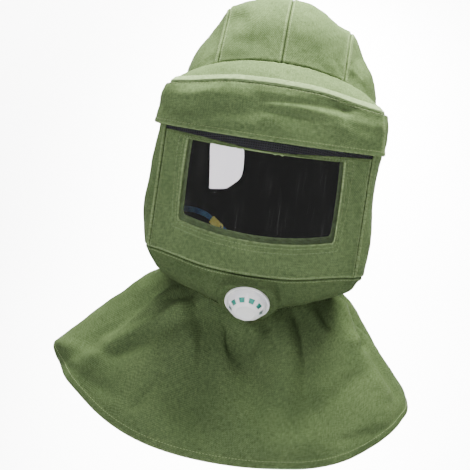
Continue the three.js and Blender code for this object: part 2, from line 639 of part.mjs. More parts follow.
function addChin() {
  const end = sideTurn - gapTurn;
  const panel = sheet({
    point: outsideWithPad, across: [-end, end, 24], down: [2, 3, 6], thick: canvas, trim: [halfGap, halfGap],
  });
  const bore = turned([[0, -far / 8], [spigotRadius + valveGap, -far / 8], [spigotRadius + valveGap, far / 8], [0, far / 8]]);
  add("chin_panel", panel.subtract(bore), canvasGreen);
  const flangeFoot = valveGap;
  const flangeTop = flangeFoot + valveFlange;
  const ringTop = -canvas - 5 * valveGap;
  const spigotEnd = ringTop - ringHeight - 2;
  add("valve_base", turned([
    [spigotBore, spigotEnd], [spigotRadius, spigotEnd], [spigotRadius, flangeFoot], [valveRadius, flangeFoot],
    [valveRadius, flangeTop + 1], [valveRadius - 1.4, flangeTop + 1], [valveRadius - 1.8, flangeTop],
    [spigotBore, flangeTop],
  ]), whitePlastic);
  add("valve_ring", turned([
    [spigotRadius + valveGap, ringTop - ringHeight], [ringRadius, ringTop - ringHeight], [ringRadius, ringTop],
    [spigotRadius + valveGap, ringTop],
  ]), whitePlastic);
  // The cap's outside moved in, evenly at its foot and also down at its face.
  const within = (depth) => {
    const { height: foot } = capRows[0];
    return capRows.map((row) => [row.radius - depth, row.height - (depth * (row.height - foot)) / (capHeight - foot)]);
  };
  const dome = (outer, inner) =>
    turned([[0, capHeight - outer], [0, capHeight - inner], ...within(inner).reverse(), ...within(outer)]);
  const slots = [];
  for (let i = 0; i < slotCount; i++) {
    const slot = new THREE.BoxGeometry(capHeight, slotHeight, slotWidth);
    slot.translate(capHeight / 2 + 9, slotRise, 0).rotateY((i / slotCount) * Math.PI * 2);
    slots.push(solidOf(onChin(slot)));
  }
  add("valve_cap", dome(0, capWall).subtract(wasm.Manifold.union(slots)), whitePlastic);
  const membraneInset = capWall + valveGap;
  add("valve_membrane", dome(membraneInset, membraneInset + 1.2), tealRubber);
}

function addLining() {
  const crownShare = 0.2; // of the rows from the crown's top to the neck seam
  const spread = (share) => (share < 0.5 ? share * 2 * crownShare : lerp(crownShare, 1, share * 2 - 1));
  const shell = sheet({
    point: oval, across: [-Math.PI, Math.PI, 26], down: [-2, 3, 10], thick: liningCloth,
    inset: canvas + layerGap, trim: [0, layerGap * 4], wrap: true, spread,
  });
  const frontEdge = -hoodPoint(sideTurn, levelOf(sideTurn, 1)).y;
  const browLevel = crownTop - levelOf(cornerTurn, -1);
  add("lining", shell.subtract(block(far, far, far, 0, -frontEdge - far / 2, browLevel - far / 2)), blackCloth);
}

function addStrap() {
  const inset = crownTop + strapGap;
  const strap = sheet({
    point: strapPoint, across: [-Math.PI, Math.PI, 42], down: [0, 1, 1], thick: strapCloth, inset, wrap: true,
  });
  add("chin_strap", strap, blueWebbing);
  const place = (turn) => strapPoint(turn, 0.5);
  const middle = place(buckle.turn);
  const along = place(buckle.turn + 0.05).sub(place(buckle.turn - 0.05)).normalize();
  const fall = strapPoint(buckle.turn, 1).sub(strapPoint(buckle.turn, 0)).normalize();
  const out = new THREE.Vector3().crossVectors(fall, along).normalize();
  if (out.y > 0) out.negate();
  const across = new THREE.Vector3().crossVectors(along, out);
  middle.addScaledVector(out, -inset - strapCloth / 2);
  const frame = new THREE.Matrix4().makeBasis(along, across, out).setPosition(middle);
  const part = (x, y, z) => solidOf(new THREE.BoxGeometry(x, y, z).applyMatrix4(frame));
  const slot = part(buckle.length * 2, strapWidth + buckle.slack, strapCloth + buckle.slack * 2);
  add("strap_buckle", part(buckle.length, buckle.height, buckle.depth).subtract(slot), yellowPlastic);
}

function addCape() {
  const cape = sheet({
    point: capePoint, across: [-Math.PI, Math.PI, 78], down: [0, 1, 7], thick: canvas, trim: [halfGap, 0],
    from: new THREE.Vector3(0, 0, -hoodHeight * 2), wrap: true,
  });
  add("cape", cape, canvasGreen);
}

addCrown();
addSides();
addFrontPanels();
addWindow();
addChin();
addLining();
addStrap();
addCape();

export default hood;
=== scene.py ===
# A sandblasting hood in green canvas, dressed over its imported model. Lengths are in millimetres until a
# mesh is made, in the model's frame: the crown rests on the head at the origin, and the wearer faces -Y.
import math

import bmesh
import bpy
import numpy as np
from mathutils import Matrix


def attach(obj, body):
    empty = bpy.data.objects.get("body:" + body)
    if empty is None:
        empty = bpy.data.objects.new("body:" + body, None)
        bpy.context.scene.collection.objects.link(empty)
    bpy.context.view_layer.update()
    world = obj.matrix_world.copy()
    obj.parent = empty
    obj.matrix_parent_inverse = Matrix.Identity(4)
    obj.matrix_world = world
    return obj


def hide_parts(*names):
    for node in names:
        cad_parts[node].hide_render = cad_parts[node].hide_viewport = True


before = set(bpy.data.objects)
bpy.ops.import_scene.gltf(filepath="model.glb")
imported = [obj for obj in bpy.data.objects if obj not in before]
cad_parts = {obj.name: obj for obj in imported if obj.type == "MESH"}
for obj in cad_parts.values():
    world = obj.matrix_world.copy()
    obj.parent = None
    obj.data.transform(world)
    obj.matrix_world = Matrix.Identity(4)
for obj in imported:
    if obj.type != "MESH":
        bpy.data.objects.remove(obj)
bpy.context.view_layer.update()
print("frame loaded")

# Cloth
canvas = 1.8
liningInset = 3.4  # from the canvas's outside to the lining's
crownTop = 4.2  # the outside of the crown above the head

# Hood
hoodWidth = 212
crownFront = 104  # from the head's axis
crownBack = 114
hoodHeight = 306  # down to the neck seam
topPanelWidth = 132

# Face box
faceHalf = 106  # half its width
faceReach = 130
cornerSetback = 25
gussetBulge = 13
browRise = 3
chinBulge = 10
cornerTurn = math.radians(45)
sideTurn = math.radians(70)

# Window, seen from the front
windowHalf = 80
windowHeight = 80.2  # at its ends
windowLean = 1.5
windowBow = 0.8
windowDip = 2
windowSag = 11.3
windowCorner = 1.6
windowMargin = 2.2

# Brow flap
flapDrop = 55
flapRoot = 3.2
flapStand = 19
flapPinch = 0.72
flapTurn = math.radians(51)

# Valve
valvePlace = 0.43  # its share of the way down the chin panel
valveAside = 0.024
valveTilt = math.radians(42)
padRadius = 29
padFade = 5
capHeight = 14.5
slotCount = 10
slotWidth = 5.8
slotHeight = 3.6
slotRise = 10.9

# Strap and cape
strapWidth = 6
capeWidth = 384
capeFront = 176
capeBack = 164
capeDrop = 138
shoulderRise = 58
backRise = 22
capeShift = 3
capeFold = 15


def table(columns, *rows):
    return dict(zip(columns.split(), np.array(rows, float).T))


hoodRows = table(
    "key wide front back",
    (0, 0, 0, 0), (0.006, 0.26, 0.3, 0.3), (0.045, 0.53, 0.55, 0.56), (0.09, 0.67, 0.7, 0.72),
    (0.16, 0.785, 0.83, 0.85), (0.23, 0.905, 0.93, 0.93), (0.31, 0.975, 1, 0.98), (0.42, 1, 1, 1),
    (0.58, 1.03, 0.97, 0.99), (0.74, 1.05, 0.93, 0.94), (0.87, 0.99, 0.93, 0.87), (1, 0.83, 0.95, 0.78),
)
hoodRows["key"] = np.sqrt(hoodRows["key"])
seamRows = table(
    "key crownEdge browSeam faceTop faceBottom neck",
    (0, 0.225, 0.301, 0.5155, 0.931, 1.075), (10, 0.227, 0.303, 0.514, 0.929, 1.065),
    (20, 0.232, 0.308, 0.507, 0.924, 1.045), (45, 0.262, 0.34, 0.494, 0.895, 1.005),
    (70, 0.322, 0.345, 0.494, 0.905, 0.98), (110, 0.33, 0.352, 0.49, 0.9, 0.975),
    (180, 0.33, 0.352, 0.49, 0.9, 0.97),
)
seams = ["crownEdge", "browSeam", "faceTop", "faceBottom", "neck"]
gussetRows = table(
    "key left right",
    (0.3, 0.5, 0.65), (0.45, 0.95, 1), (0.62, 1.1, 0.7), (0.78, 1.25, 1.05), (0.92, 0.8, 1.1),
)
crownSlack = 7
dentRows = table(
    "turn down depth wide tall",
    (84, 0.035, 1.25, 40, 0.04), (-78, 0.065, -0.5, 22, 0.03), (-48, 0.1, 0.9, 15, 0.045),
    (-62, 0.2, 0.6, 12, 0.06),
    (52, 0.24, 0.8, 9, 0.05), (70, 0.15, 0.7, 13, 0.07), (8, 0.1, -0.4, 20, 0.07),
    (150, 0.2, 0.7, 22, 0.08), (-140, 0.26, 0.6, 18, 0.07),
)
flapRows = table("key stand", (0, 0), (0.14, 0.42), (0.32, 0.7), (0.55, 0.6), (0.78, 0.84), (1, 1))
flapDentRows = table(
    "turn down depth wide tall",
    (10, 0.5, 0.32, 12, 0.16), (-30, 0.45, -0.18, 9, 0.2), (34, 0.62, -0.12, 8, 0.2)
)
strapRows = table(
    "key reach down",
    (-180, 1, 0.9), (-130, 1, 0.885), (-95, 1, 0.812), (-78, 0.97, 0.79), (-60, 0.93, 0.772),
    (-46, 0.89, 0.766),
    (-38, 0.85, 0.775), (-29, 0.83, 0.802), (-15, 0.85, 0.835), (0, 0.87, 0.85), (45, 0.93, 0.87),
    (90, 1, 0.885), (180, 1, 0.9),
)
hemRows = table(
    "key out drop",
    (-180, 0, 0), (-110, 0, 0), (-92, 1, 2), (-72, 3, 5), (-50, 0, -1), (-20, 0, 0), (10, 0, 2), (45, 2, 5),
    (68, 0, 6), (90, -4, 5), (120, 0, 0), (180, 0, 0),
)
capRows = table(
    "key radius", (2.3, 19.5), (5.4, 18.7), (8.4, 17.4), (11.4, 14.9), (13.7, 12), (14.5, 10),
)
capeRows = table(
    "key out fall",
    (0, 0, 0), (0.25, 0.25, 0.22), (0.5, 0.52, 0.46), (0.75, 0.79, 0.71), (0.9, 0.94, 0.87), (1, 1, 1),
)
foldRows = table(
    "neck hem wide high begin end",
    (-28, -4, 10, -1, -0.1, 0.95), (2, 6, 8, -0.55, -0.1, 0.6), (-12, 18, 9, 0.35, 0, 1.1),
    (24, 30, 8, 0.45, 0, 0.7), (38, 26, 7, -0.8, -0.1, 0.8), (54, 60, 8, 0.55, 0, 1.2),
    (72, 80, 9, 0.35, 0, 1.3), (88, 104, 9, -0.95, -0.1, 1.3), (106, 122, 10, 0.5, 0, 1.2),
    (132, 140, 11, -0.6, -0.1, 1.1), (158, 156, 10, 0.4, 0, 1.1), (178, 176, 11, -0.65, -0.1, 1.1),
    (-158, -156, 11, 0.45, 0, 1.1), (-134, -128, 10, -0.6, -0.1, 1.1), (-108, -104, 10, 0.45, 0, 1.2),
    (-92, -96, 6, -0.5, -0.1, 1.2), (-76, -82, 8, 0.5, 0, 1.3), (-60, -66, 6, -0.55, -0.1, 0.8),
    (-49, -56, 7, 0.55, 0, 1),
)


def each(rows):
    for i in range(len(next(iter(rows.values())))):
        yield {column: values[i] for column, values in rows.items()}


def mix(a, b, share):
    return a + (b - a) * share


def ease(x, low, high):
    t = np.clip((x - low) / (high - low), 0, 1)
    return t * t * (3 - 2 * t)


def bell(x):
    return np.exp(-x * x)


def curve(rows, column, place):
    keys, values = rows["key"], rows[column]
    at = np.clip(place, keys[0], keys[-1])
    i = np.clip(np.searchsorted(keys, at) - 1, 0, len(keys) - 2)
    spots = np.arange(len(keys))
    before, after = np.maximum(spots - 1, 0), np.minimum(spots + 1, len(keys) - 1)
    slopes = (values[after] - values[before]) / (keys[after] - keys[before])
    step = keys[i + 1] - keys[i]
    t = (at - keys[i]) / step
    bend = t * t * (3 - 2 * t)
    lean = t * (1 - t) ** 2 * slopes[i] - t * t * (1 - t) * slopes[i + 1]
    return mix(values[i], values[i + 1], bend) + step * lean


def at(x, y, z):
    return np.stack(np.broadcast_arrays(x, y, z), -1).astype(float)


def unit(v):
    return v / np.maximum(np.linalg.norm(v, axis=-1, keepdims=True), 1e-9)


def hoodPoint(turn, down):
    key = np.sqrt(np.maximum(down, 0) / hoodHeight)
    wide = curve(hoodRows, "wide", key) * hoodWidth / 2
    front, back = curve(hoodRows, "front", key) * crownFront, curve(hoodRows, "back", key) * crownBack
    deep = np.where(np.cos(turn) > 0, front, back)
    return at(wide * np.sin(turn), -deep * np.cos(turn), crownTop - down)


def levelOf(turn, row):
    degrees, place = np.broadcast_arrays(np.abs(np.degrees(turn)), np.clip(np.asarray(row, float) + 1, 0, 4))
    levels = [curve(seamRows, seam, degrees) * hoodHeight for seam in seams]
    return sum(level * np.maximum(1 - np.abs(place - k), 0) for k, level in enumerate(levels))


def boxPoint(turn, down):
    side = np.where(np.asarray(turn) < 0, -1, 1)
    away = np.abs(turn)
    share = np.minimum(away / cornerTurn, 1)
    front = at(side * faceHalf * share, cornerSetback * share * share - faceReach, crownTop - down)
    bend = np.clip((away - cornerTurn) / (sideTurn - cornerTurn), 0, None)
    back = hoodPoint(side * sideTurn, down)
    point = mix(front, back, bend[..., None])
    level = down / hoodHeight
    full = np.where(side < 0, curve(gussetRows, "left", level), curve(gussetRows, "right", level))
    point[..., 0] += side * gussetBulge * full * np.sin(np.pi * np.clip(bend, 0, 1))
    return point


def chinPoint(turn, share):
    box, hood = boxPoint(turn, levelOf(turn, 2)), hoodPoint(turn, levelOf(turn, 3))
    point = mix(box, hood, np.asarray(share)[..., None])
    bulge = chinBulge * np.sin(np.pi * np.clip(share, 0, 1)) * ease(sideTurn - np.abs(turn), 0, 0.35)
    point[..., 0] += bulge * 0.6 * np.sin(turn)
    point[..., 1] -= bulge * 0.6 * np.cos(turn)
    point[..., 2] -= bulge * 0.8
    return point


# One soft dent of a table, at a turn in degrees and a share of the way down.
def dentOf(row, degrees, place):
    aside, below = (degrees - row["turn"]) / row["wide"], (place - row["down"]) / row["tall"]
    return row["depth"] * bell(aside) * bell(below)


def dentAt(turn, down):
    return crownSlack * sum(dentOf(row, np.degrees(turn), down / hoodHeight) for row in each(dentRows))


def dented(turn, down, edge):
    point = hoodPoint(turn, down)
    row = np.sqrt(np.clip(down / edge, 0, 1)) - 2
    dent = dentAt(turn, down) * ease(row, -2, -1.8)
    point[..., 0] -= dent * 0.8 * np.sin(turn)
    point[..., 1] += dent * 0.8 * np.cos(turn)
    point[..., 2] -= dent * 0.6 * (1 - ease(row, -1.6, -1.2))
    return point


def oval(turn, row):
    row = np.asarray(row, float)
    edge, neck = levelOf(turn, -1), levelOf(turn, 3)
    crown = dented(turn, edge * (row + 2) ** 2, edge)
    lower = hoodPoint(turn, mix(edge, neck, (row + 1) / 4))
    return np.where((row < -1)[..., None], crown, lower)


def outside(turn, row):
    row = np.asarray(row, float)
    edge = hoodPoint(turn, levelOf(turn, -1))
    brow = mix(edge, boxPoint(turn, levelOf(turn, 0)), np.clip(row + 1, 0, 1)[..., None])
    brow[..., 2] += browRise * np.sin(np.pi * np.clip(row + 1, 0, 1))
    box = boxPoint(turn, levelOf(turn, row))
    chin = chinPoint(turn, row - 2)
    front = np.where((row < 0)[..., None], brow, np.where((row < 2)[..., None], box, chin))
    return np.where((np.abs(turn) > sideTurn)[..., None], hoodPoint(turn, levelOf(turn, row)), front)


valveSpot = chinPoint(np.array(valveAside), valvePlace)
valveNormal = np.array([0, -math.cos(valveTilt), -math.sin(valveTilt)])


def withPad(turn, row):
    point = outside(turn, row)
    rise = (point - valveSpot) @ valveNormal
    away = np.linalg.norm(point - rise[..., None] * valveNormal - valveSpot, axis=-1)
    flat = (1 - ease(away, padRadius, padRadius + padFade)) * ease(row, 2, 2.06) * (1 - ease(row, 2.94, 3))
    return point - (rise * flat)[..., None] * valveNormal


def flapPoint(turn, share):
    degrees = np.degrees(turn)
    point = boxPoint(turn, mix(levelOf(turn, 0), levelOf(0 * turn, 0) + flapDrop, share))
    stand = curve(flapRows, "stand", share)
    for row in each(flapDentRows):
        stand = stand - dentOf(row, degrees, share)
    out = flapRoot + (flapStand - flapRoot) * stand * (1 - flapPinch * (turn / flapTurn) ** 2)
    point[..., 0] += out * np.sin(turn)
    point[..., 1] -= out * np.cos(turn)
    return point


def strapPoint(turn, share):
    degrees = (np.degrees(turn) + 540) % 360 - 180
    down = curve(strapRows, "down", degrees) * hoodHeight + (share - 0.5) * strapWidth
    reach = np.minimum(curve(strapRows, "reach", degrees), 1)
    return hoodPoint(turn, down) * at(reach, reach, 1 + 0 * reach)


def capePoint(turn, share):
    degrees = np.degrees(turn)
    neck = hoodPoint(turn, levelOf(turn, 3))
    forward = np.cos(turn) > 0
    rise = shoulderRise * np.abs(np.sin(turn)) ** 3 + backRise * np.where(forward, 0, np.cos(turn) ** 2)
    around = (degrees + 540) % 360 - 180
    hemDown = capeDrop + seamRows["neck"][0] * hoodHeight - rise + curve(hemRows, "drop", around)
    more = curve(hemRows, "out", around)
    hemDeep = np.where(forward, capeFront, capeBack) + more
    hem = at((capeWidth / 2 + more) * np.sin(turn) - capeShift, -hemDeep * np.cos(turn), crownTop - hemDown)
    out, fall = curve(capeRows, "out", share), curve(capeRows, "fall", share)
    point = mix(neck, hem, at(out, out, fall))
    fold = 0
    for row in each(foldRows):
        middle = mix(row["neck"], row["hem"], share)
        aside = (degrees - middle + 540) % 360 - 180
        begun = ease(share, row["begin"], row["begin"] + 0.3)
        ended = 1 - ease(share, row["end"] - 0.25, row["end"] + 0.1)
        fold = fold + row["high"] * bell(aside / row["wide"]) * begun * ended
    lift = capeFold * fold * ease(share, 0, 0.12)
    return point + at(lift * 0.7 * np.sin(turn), -lift * 0.7 * np.cos(turn), lift * 0.6)


# The photograph's camera. Its frame is square, its view is rolled, and it looks a little down.
pixels = 470
focal = 1500  # in pixels
roll = math.radians(8.5)
middleX = 261.5  # the pixel where the window's middle shows
middleY = 187
eyeLeft = 19.1  # how far the camera stands to the left of the window's middle
eyeBelow = 51.4  # and below it
eyeAway = 1500
lookAlong = unit(np.array([-0.052, 0.993, -0.1045]))
lookRight = unit(np.array([0.9986, 0.0523, 0]))
lookUp = np.cross(lookRight, lookAlong)
windowMiddle = np.array([0, -128, -190])
eye = windowMiddle - eyeAway * lookAlong - eyeLeft * lookRight - eyeBelow * lookUp


# Where a point shows in the photograph, in pixels across and down.
def inPhoto(points):
    away = points - eye
    far = away @ lookAlong
    u = focal * (away @ lookRight) / far - eyeLeft
    v = eyeBelow - focal * (away @ lookUp) / far
    x = middleX + u * math.cos(roll) - v * math.sin(roll)
    y = middleY + u * math.sin(roll) + v * math.cos(roll)
    return x, y


# A matrix that puts a camera or a lamp at a place in millimetres, looking along its own -Z.
def poseOf(right, up, back, place):
    pose = np.eye(4)
    for k, column in enumerate((right, up, back, np.array(place) / 1000)):
        pose[:3, k] = column
    return pose.T.tolist()


def addCamera():
    camera = bpy.data.objects.new("camera", bpy.data.cameras.new("camera"))
    camera.data.sensor_width = 36
    camera.data.lens = 36 * focal / pixels
    camera.data.clip_end = 100
    right = lookRight * math.cos(roll) + lookUp * math.sin(roll)
    up = lookUp * math.cos(roll) - lookRight * math.sin(roll)
    camera.matrix_world = poseOf(right, up, -lookAlong, eye)
    bpy.context.scene.collection.objects.link(camera)
    bpy.context.scene.camera = camera


addCamera()
print("camera placed")


def linear(code):
    shades = [int(code[i : i + 2], 16) / 255 for i in (1, 3, 5)]
    return (*[c / 12.92 if c <= 0.04045 else ((c + 0.055) / 1.055) ** 2.4 for c in shades], 1)


# Adds a node. Its settings are properties or inputs, and its links are the sockets for its inputs.
def node(tree, kind, settings=None, links=None):
    made = tree.nodes.new(kind)
    for key, value in (settings or {}).items():
        if isinstance(key, int) or key in made.inputs:
            made.inputs[key].default_value = value
        else:
            setattr(made, key, value)
    for key, source in (links or {}).items():
        tree.links.new(source, made.inputs[key])
    return made


# A Mix node's sockets for colours, and the settings of its two uses here.
factor, first, second, mixedColour = 0, 6, 7, 2
mixing = {"data_type": "RGBA", "blend_type": "MIX"}
multiplying = {"data_type": "RGBA", "blend_type": "MULTIPLY", factor: 1.0}
adding = {"operation": "ADD"}
times = {"operation": "MULTIPLY"}


def colours(deep, pale):
    return {**mixing, first: linear(deep), second: linear(pale)}


# A Map Range node's settings, from one span of values to another.
def spans(start, end, low=0, high=1):
    return {"From Min": start, "From Max": end, "To Min": low, "To Max": high}


def newMaterial(name):
    material = bpy.data.materials.new(name)
    material.use_nodes = True
    material.node_tree.nodes.clear()
    return material, material.node_tree


def finishMaterial(tree, settings, links):
    shader = node(tree, "ShaderNodeBsdfPrincipled", settings, links)
    node(tree, "ShaderNodeOutputMaterial", None, {"Surface": shader.outputs[0]})


# An uneven pattern of patches of about one size in millimetres.
def uneven(tree, vector, size, detail=3, stretch=(1, 1, 1)):
    scale = tuple(1000 / size * s for s in stretch)
    spread = node(tree, "ShaderNodeMapping", {"Scale": scale}, {"Vector": vector})
    links = {"Vector": spread.outputs[0]}
    return node(tree, "ShaderNodeTexNoise", {"Scale": 1, "Detail": detail}, links).outputs[0]


# Woven cotton: threads over and under each other, uneven yarn, faded patches, and seams worn paler. A piece's
# attribute also darkens it, as painted shade.
def wovenCotton(name, settings):
    material, tree = newMaterial(name)
    cloth = node(tree, "ShaderNodeUVMap", {"uv_map": "cloth"}).outputs[0]
    place = node(tree, "ShaderNodeTexCoord").outputs["Object"]
    pitch = settings["thread"]
    yarns = []
    for way, apart in (("X", pitch), ("Y", pitch), ("DIAGONAL", pitch * math.sqrt(2))):
        # wave textures repeat every pi / 10 at scale 1
        wave = {"bands_direction": way, "Scale": math.pi / 10 / (apart / 1000)}
        yarns.append(node(tree, "ShaderNodeTexWave", wave, {"Vector": cloth}).outputs[1])
    crossed = node(tree, "ShaderNodeMath", adding, {0: yarns[0], 1: yarns[1]}).outputs[0]
    weave = node(tree, "ShaderNodeMath", times, {0: crossed, 1: yarns[2]}).outputs[0]
    slubAcross = uneven(tree, cloth, pitch * 3, 4, (0.5, 2, 1))
    slubDown = uneven(tree, cloth, pitch * 3, 4, (2, 0.5, 1))
    slubs = node(tree, "ShaderNodeMath", adding, {0: slubAcross, 1: slubDown}).outputs[0]
    patches = uneven(tree, place, settings["patch"], 5)
    faded = node(tree, "ShaderNodeMapRange", spans(0.3, 0.72), {"Value": patches}).outputs[0]
    dyed = node(tree, "ShaderNodeMix", colours(settings["deep"], settings["pale"]), {factor: faded})
    slub, gap = settings["slub"], settings["gap"]
    yarn = node(tree, "ShaderNodeMapRange", spans(0.7, 1.3, 1 - slub, 1 + slub), {"Value": slubs})
    dark = node(tree, "ShaderNodeMapRange", spans(0.2, 1.6, 1 - gap, 1 + gap / 3), {"Value": weave})
    shade = node(tree, "ShaderNodeMath", times, {0: yarn.outputs[0], 1: dark.outputs[0]}).outputs[0]
    grey = node(tree, "ShaderNodeCombineColor", None, {0: shade, 1: shade, 2: shade}).outputs[0]
    tone = node(tree, "ShaderNodeMix", multiplying, {first: dyed.outputs[mixedColour], second: grey})
    wearAndPaintedShade = node(tree, "ShaderNodeAttribute", {"attribute_name": "wearAndPaintedShade"}).outputs["Fac"]
    rub = node(tree, "ShaderNodeMapRange", spans(0, 1), {"Value": wearAndPaintedShade}).outputs[0]
    broken = node(tree, "ShaderNodeMapRange", spans(0.35, 0.6, 0.3, 1), {"Value": slubAcross}).outputs[0]
    worn = node(tree, "ShaderNodeMath", times, {0: rub, 1: broken}).outputs[0]
    wear = {**mixing, second: linear(settings["worn"])}
    paler = node(tree, "ShaderNodeMix", wear, {factor: worn, first: tone.outputs[mixedColour]})
    # Where the attribute is below zero the colour is darkened: painted shade on the chin, the cape, under the
    # brow band and in the seams' grooves.
    soilAndPaintedShade = node(tree, "ShaderNodeMapRange", spans(-1, 0, 0.25, 1), {"Value": wearAndPaintedShade}).outputs[0]
    dustAndPaintedShade = node(tree, "ShaderNodeCombineColor", None, {0: soilAndPaintedShade, 1: soilAndPaintedShade, 2: soilAndPaintedShade}).outputs[0]
    colour = node(tree, "ShaderNodeMix", multiplying, {first: paler.outputs[mixedColour], second: dustAndPaintedShade})
    raised = node(tree, "ShaderNodeMath", {**times, 1: 0.5}, {0: weave}).outputs[0]
    lumps = node(tree, "ShaderNodeMath", {**times, 1: 0.6}, {0: slubs}).outputs[0]
    height = node(tree, "ShaderNodeMath", adding, {0: raised, 1: lumps}).outputs[0]
    relief = {"Strength": settings["relief"], "Distance": pitch / 3000}
    bump = node(tree, "ShaderNodeBump", relief, {"Height": height}).outputs[0]
    finishMaterial(tree, settings["shader"], {"Base Color": colour.outputs[mixedColour], "Normal": bump})
    return material


cottonShader = {
    "Roughness": 0.92, "Specular IOR Level": 0.03, "Sheen Weight": 0.02, "Sheen Roughness": 0.4,
    "Sheen Tint": linear("#c8dca8"),
}
# Vat-dyed cotton canvas, plain weave. Its threads are drawn about twice as coarse, so that they show.
canvasGreen = wovenCotton("canvasVatDyedGreen", {
    "thread": 0.85, "patch": 55, "deep": "#5b6d49", "pale": "#697c54", "worn": "#94a878",
    "slub": 0.34, "gap": 0.24, "relief": 0.9, "shader": cottonShader,
})
# The same canvas cut as a narrow bias tape, brushed paler along its folds.
tapeGreen = wovenCotton("canvasTapeBrushedGreen", {
    "thread": 0.7, "patch": 30, "deep": "#61744c", "pale": "#70845b", "worn": "#a0b388",
    "slub": 0.12, "gap": 0.14, "relief": 0.45, "shader": cottonShader,
})
# Napped black lining cloth, which takes in nearly all the light.
liningBlack = wovenCotton("liningNappedBlack", {
    "thread": 0.5, "patch": 40, "deep": "#0d0d0f", "pale": "#161618", "worn": "#2a2a2d",
    "slub": 0.2, "gap": 0.1, "relief": 0.3,
    "shader": {"Roughness": 1, "Specular IOR Level": 0.1, "Sheen Weight": 0.1, "Sheen Roughness": 0.5},
})
# Woven polyester webbing, dyed blue, with a slight shine.
webbingBlue = wovenCotton("webbingWovenBlue", {
    "thread": 1.1, "patch": 12, "deep": "#2c568c", "pale": "#5f8ec4", "worn": "#8fb2dc",
    "slub": 0.2, "gap": 0.3, "relief": 0.8,
    "shader": {"Roughness": 0.6, "Specular IOR Level": 0.4, "Sheen Weight": 0.1},
})


# Warp-knitted polyester mesh: round holes in staggered rows.
def knittedMesh(name, settings):
    material, tree = newMaterial(name)
    cloth = node(tree, "ShaderNodeUVMap", {"uv_map": "cloth"}).outputs[0]
    scale = 1000 / settings["hole"]
    spread = node(tree, "ShaderNodeMapping", {"Scale": (scale, scale, 1)}, {"Vector": cloth}).outputs[0]
    holes = node(tree, "ShaderNodeTexVoronoi", {"Scale": 1, "Randomness": 0.12}, {"Vector": spread})
    rib = node(tree, "ShaderNodeMapRange", spans(0.18, 0.42), {"Value": holes.outputs[0]}).outputs[0]
    colour = node(tree, "ShaderNodeMix", colours(settings["deep"], settings["pale"]), {factor: rib})
    relief = {"Strength": 0.8, "Distance": settings["relief"] / 1000}
    bump = node(tree, "ShaderNodeBump", relief, {"Height": rib}).outputs[0]
    finishMaterial(tree, settings["shader"], {"Base Color": colour.outputs[mixedColour], "Normal": bump})
    return material


meshBlack = knittedMesh("meshKnittedBlack", {
    "hole": 2.4, "relief": 0.6, "deep": "#050506", "pale": "#2f2f35",
    "shader": {"Roughness": 0.7, "Specular IOR Level": 0.3},
})


# Injection-moulded plastic: satin, with a fine mould grain and faint handling marks.
def mouldedPlastic(name, settings):
    material, tree = newMaterial(name)
    place = node(tree, "ShaderNodeTexCoord").outputs["Object"]
    marks = uneven(tree, place, 9, 4)
    shade = node(tree, "ShaderNodeMapRange", spans(0.35, 0.7), {"Value": marks}).outputs[0]
    colour = node(tree, "ShaderNodeMix", colours(settings["deep"], settings["pale"]), {factor: shade})
    rough = spans(0, 1, settings["rough"] - 0.07, settings["rough"] + 0.1)
    satin = node(tree, "ShaderNodeMapRange", rough, {"Value": marks}).outputs[0]
    grain = {"Height": uneven(tree, place, 0.5, 2)}
    bump = node(tree, "ShaderNodeBump", {"Strength": 0.12, "Distance": 0.0001}, grain).outputs[0]
    links = {"Base Color": colour.outputs[mixedColour], "Roughness": satin, "Normal": bump}
    finishMaterial(tree, settings["shader"], links)
    return material


whitePlastic = mouldedPlastic("polypropyleneMouldedWhite", {
    "deep": "#f6f6fc", "pale": "#fefeff", "rough": 0.42,
    "shader": {
        "Specular IOR Level": 0.45, "Subsurface Weight": 0.1, "Subsurface Radius": (0.002, 0.002, 0.002),
    },
})
yellowPlastic = mouldedPlastic("acetalMouldedYellow", {
    "deep": "#d3c55c", "pale": "#efe28a", "rough": 0.35, "shader": {"Specular IOR Level": 0.5},
})
tealRubber = mouldedPlastic("siliconeMouldedTeal", {
    "deep": "#39ad9b", "pale": "#5bcbba", "rough": 0.5, "shader": {"Specular IOR Level": 0.4},
})


# Clear polycarbonate sheet, drawn flat and bent: mirror-smooth, with faint vertical wipe marks.
def clearSheet():
    material, tree = newMaterial("polycarbonateClear")
    clear = node(tree, "ShaderNodeBsdfTransparent", {"Color": (0.93, 0.94, 0.93, 1)}).outputs[0]
    gloss = node(tree, "ShaderNodeBsdfGlossy", {"Roughness": 0.015}).outputs[0]
    shine = node(tree, "ShaderNodeFresnel", {"IOR": 1.5}).outputs[0]
    sheet = node(tree, "ShaderNodeMixShader", None, {0: shine, 1: clear, 2: gloss}).outputs[0]
    cloth = node(tree, "ShaderNodeUVMap", {"uv_map": "cloth"}).outputs[0]
    wiped = uneven(tree, cloth, 6, 4, (6, 0.12, 1))
    haze = node(tree, "ShaderNodeMapRange", spans(0.58, 0.8, 0, 0.05), {"Value": wiped}).outputs[0]
    dustAndPaintedShade = node(tree, "ShaderNodeBsdfDiffuse", {"Color": (0.8, 0.8, 0.82, 1)}).outputs[0]
    surface = node(tree, "ShaderNodeMixShader", None, {0: haze, 1: sheet, 2: dustAndPaintedShade}).outputs[0]
    node(tree, "ShaderNodeOutputMaterial", None, {"Surface": surface})
    return material


# Spun sewing cotton: twisted, and paler than the canvas.
def sewingCotton():
    material, tree = newMaterial("threadSpunGreen")
    place = node(tree, "ShaderNodeTexCoord").outputs["Object"]
    twist = uneven(tree, place, 0.6, 2)
    colour = node(tree, "ShaderNodeMix", colours("#64754a", "#8a9c6b"), {factor: twist}).outputs[mixedColour]
    finishMaterial(tree, {"Roughness": 0.8, "Sheen Weight": 0.2}, {"Base Color": colour})
    return material


lensClear = clearSheet()
threadGreen = sewingCotton()
print("materials made")


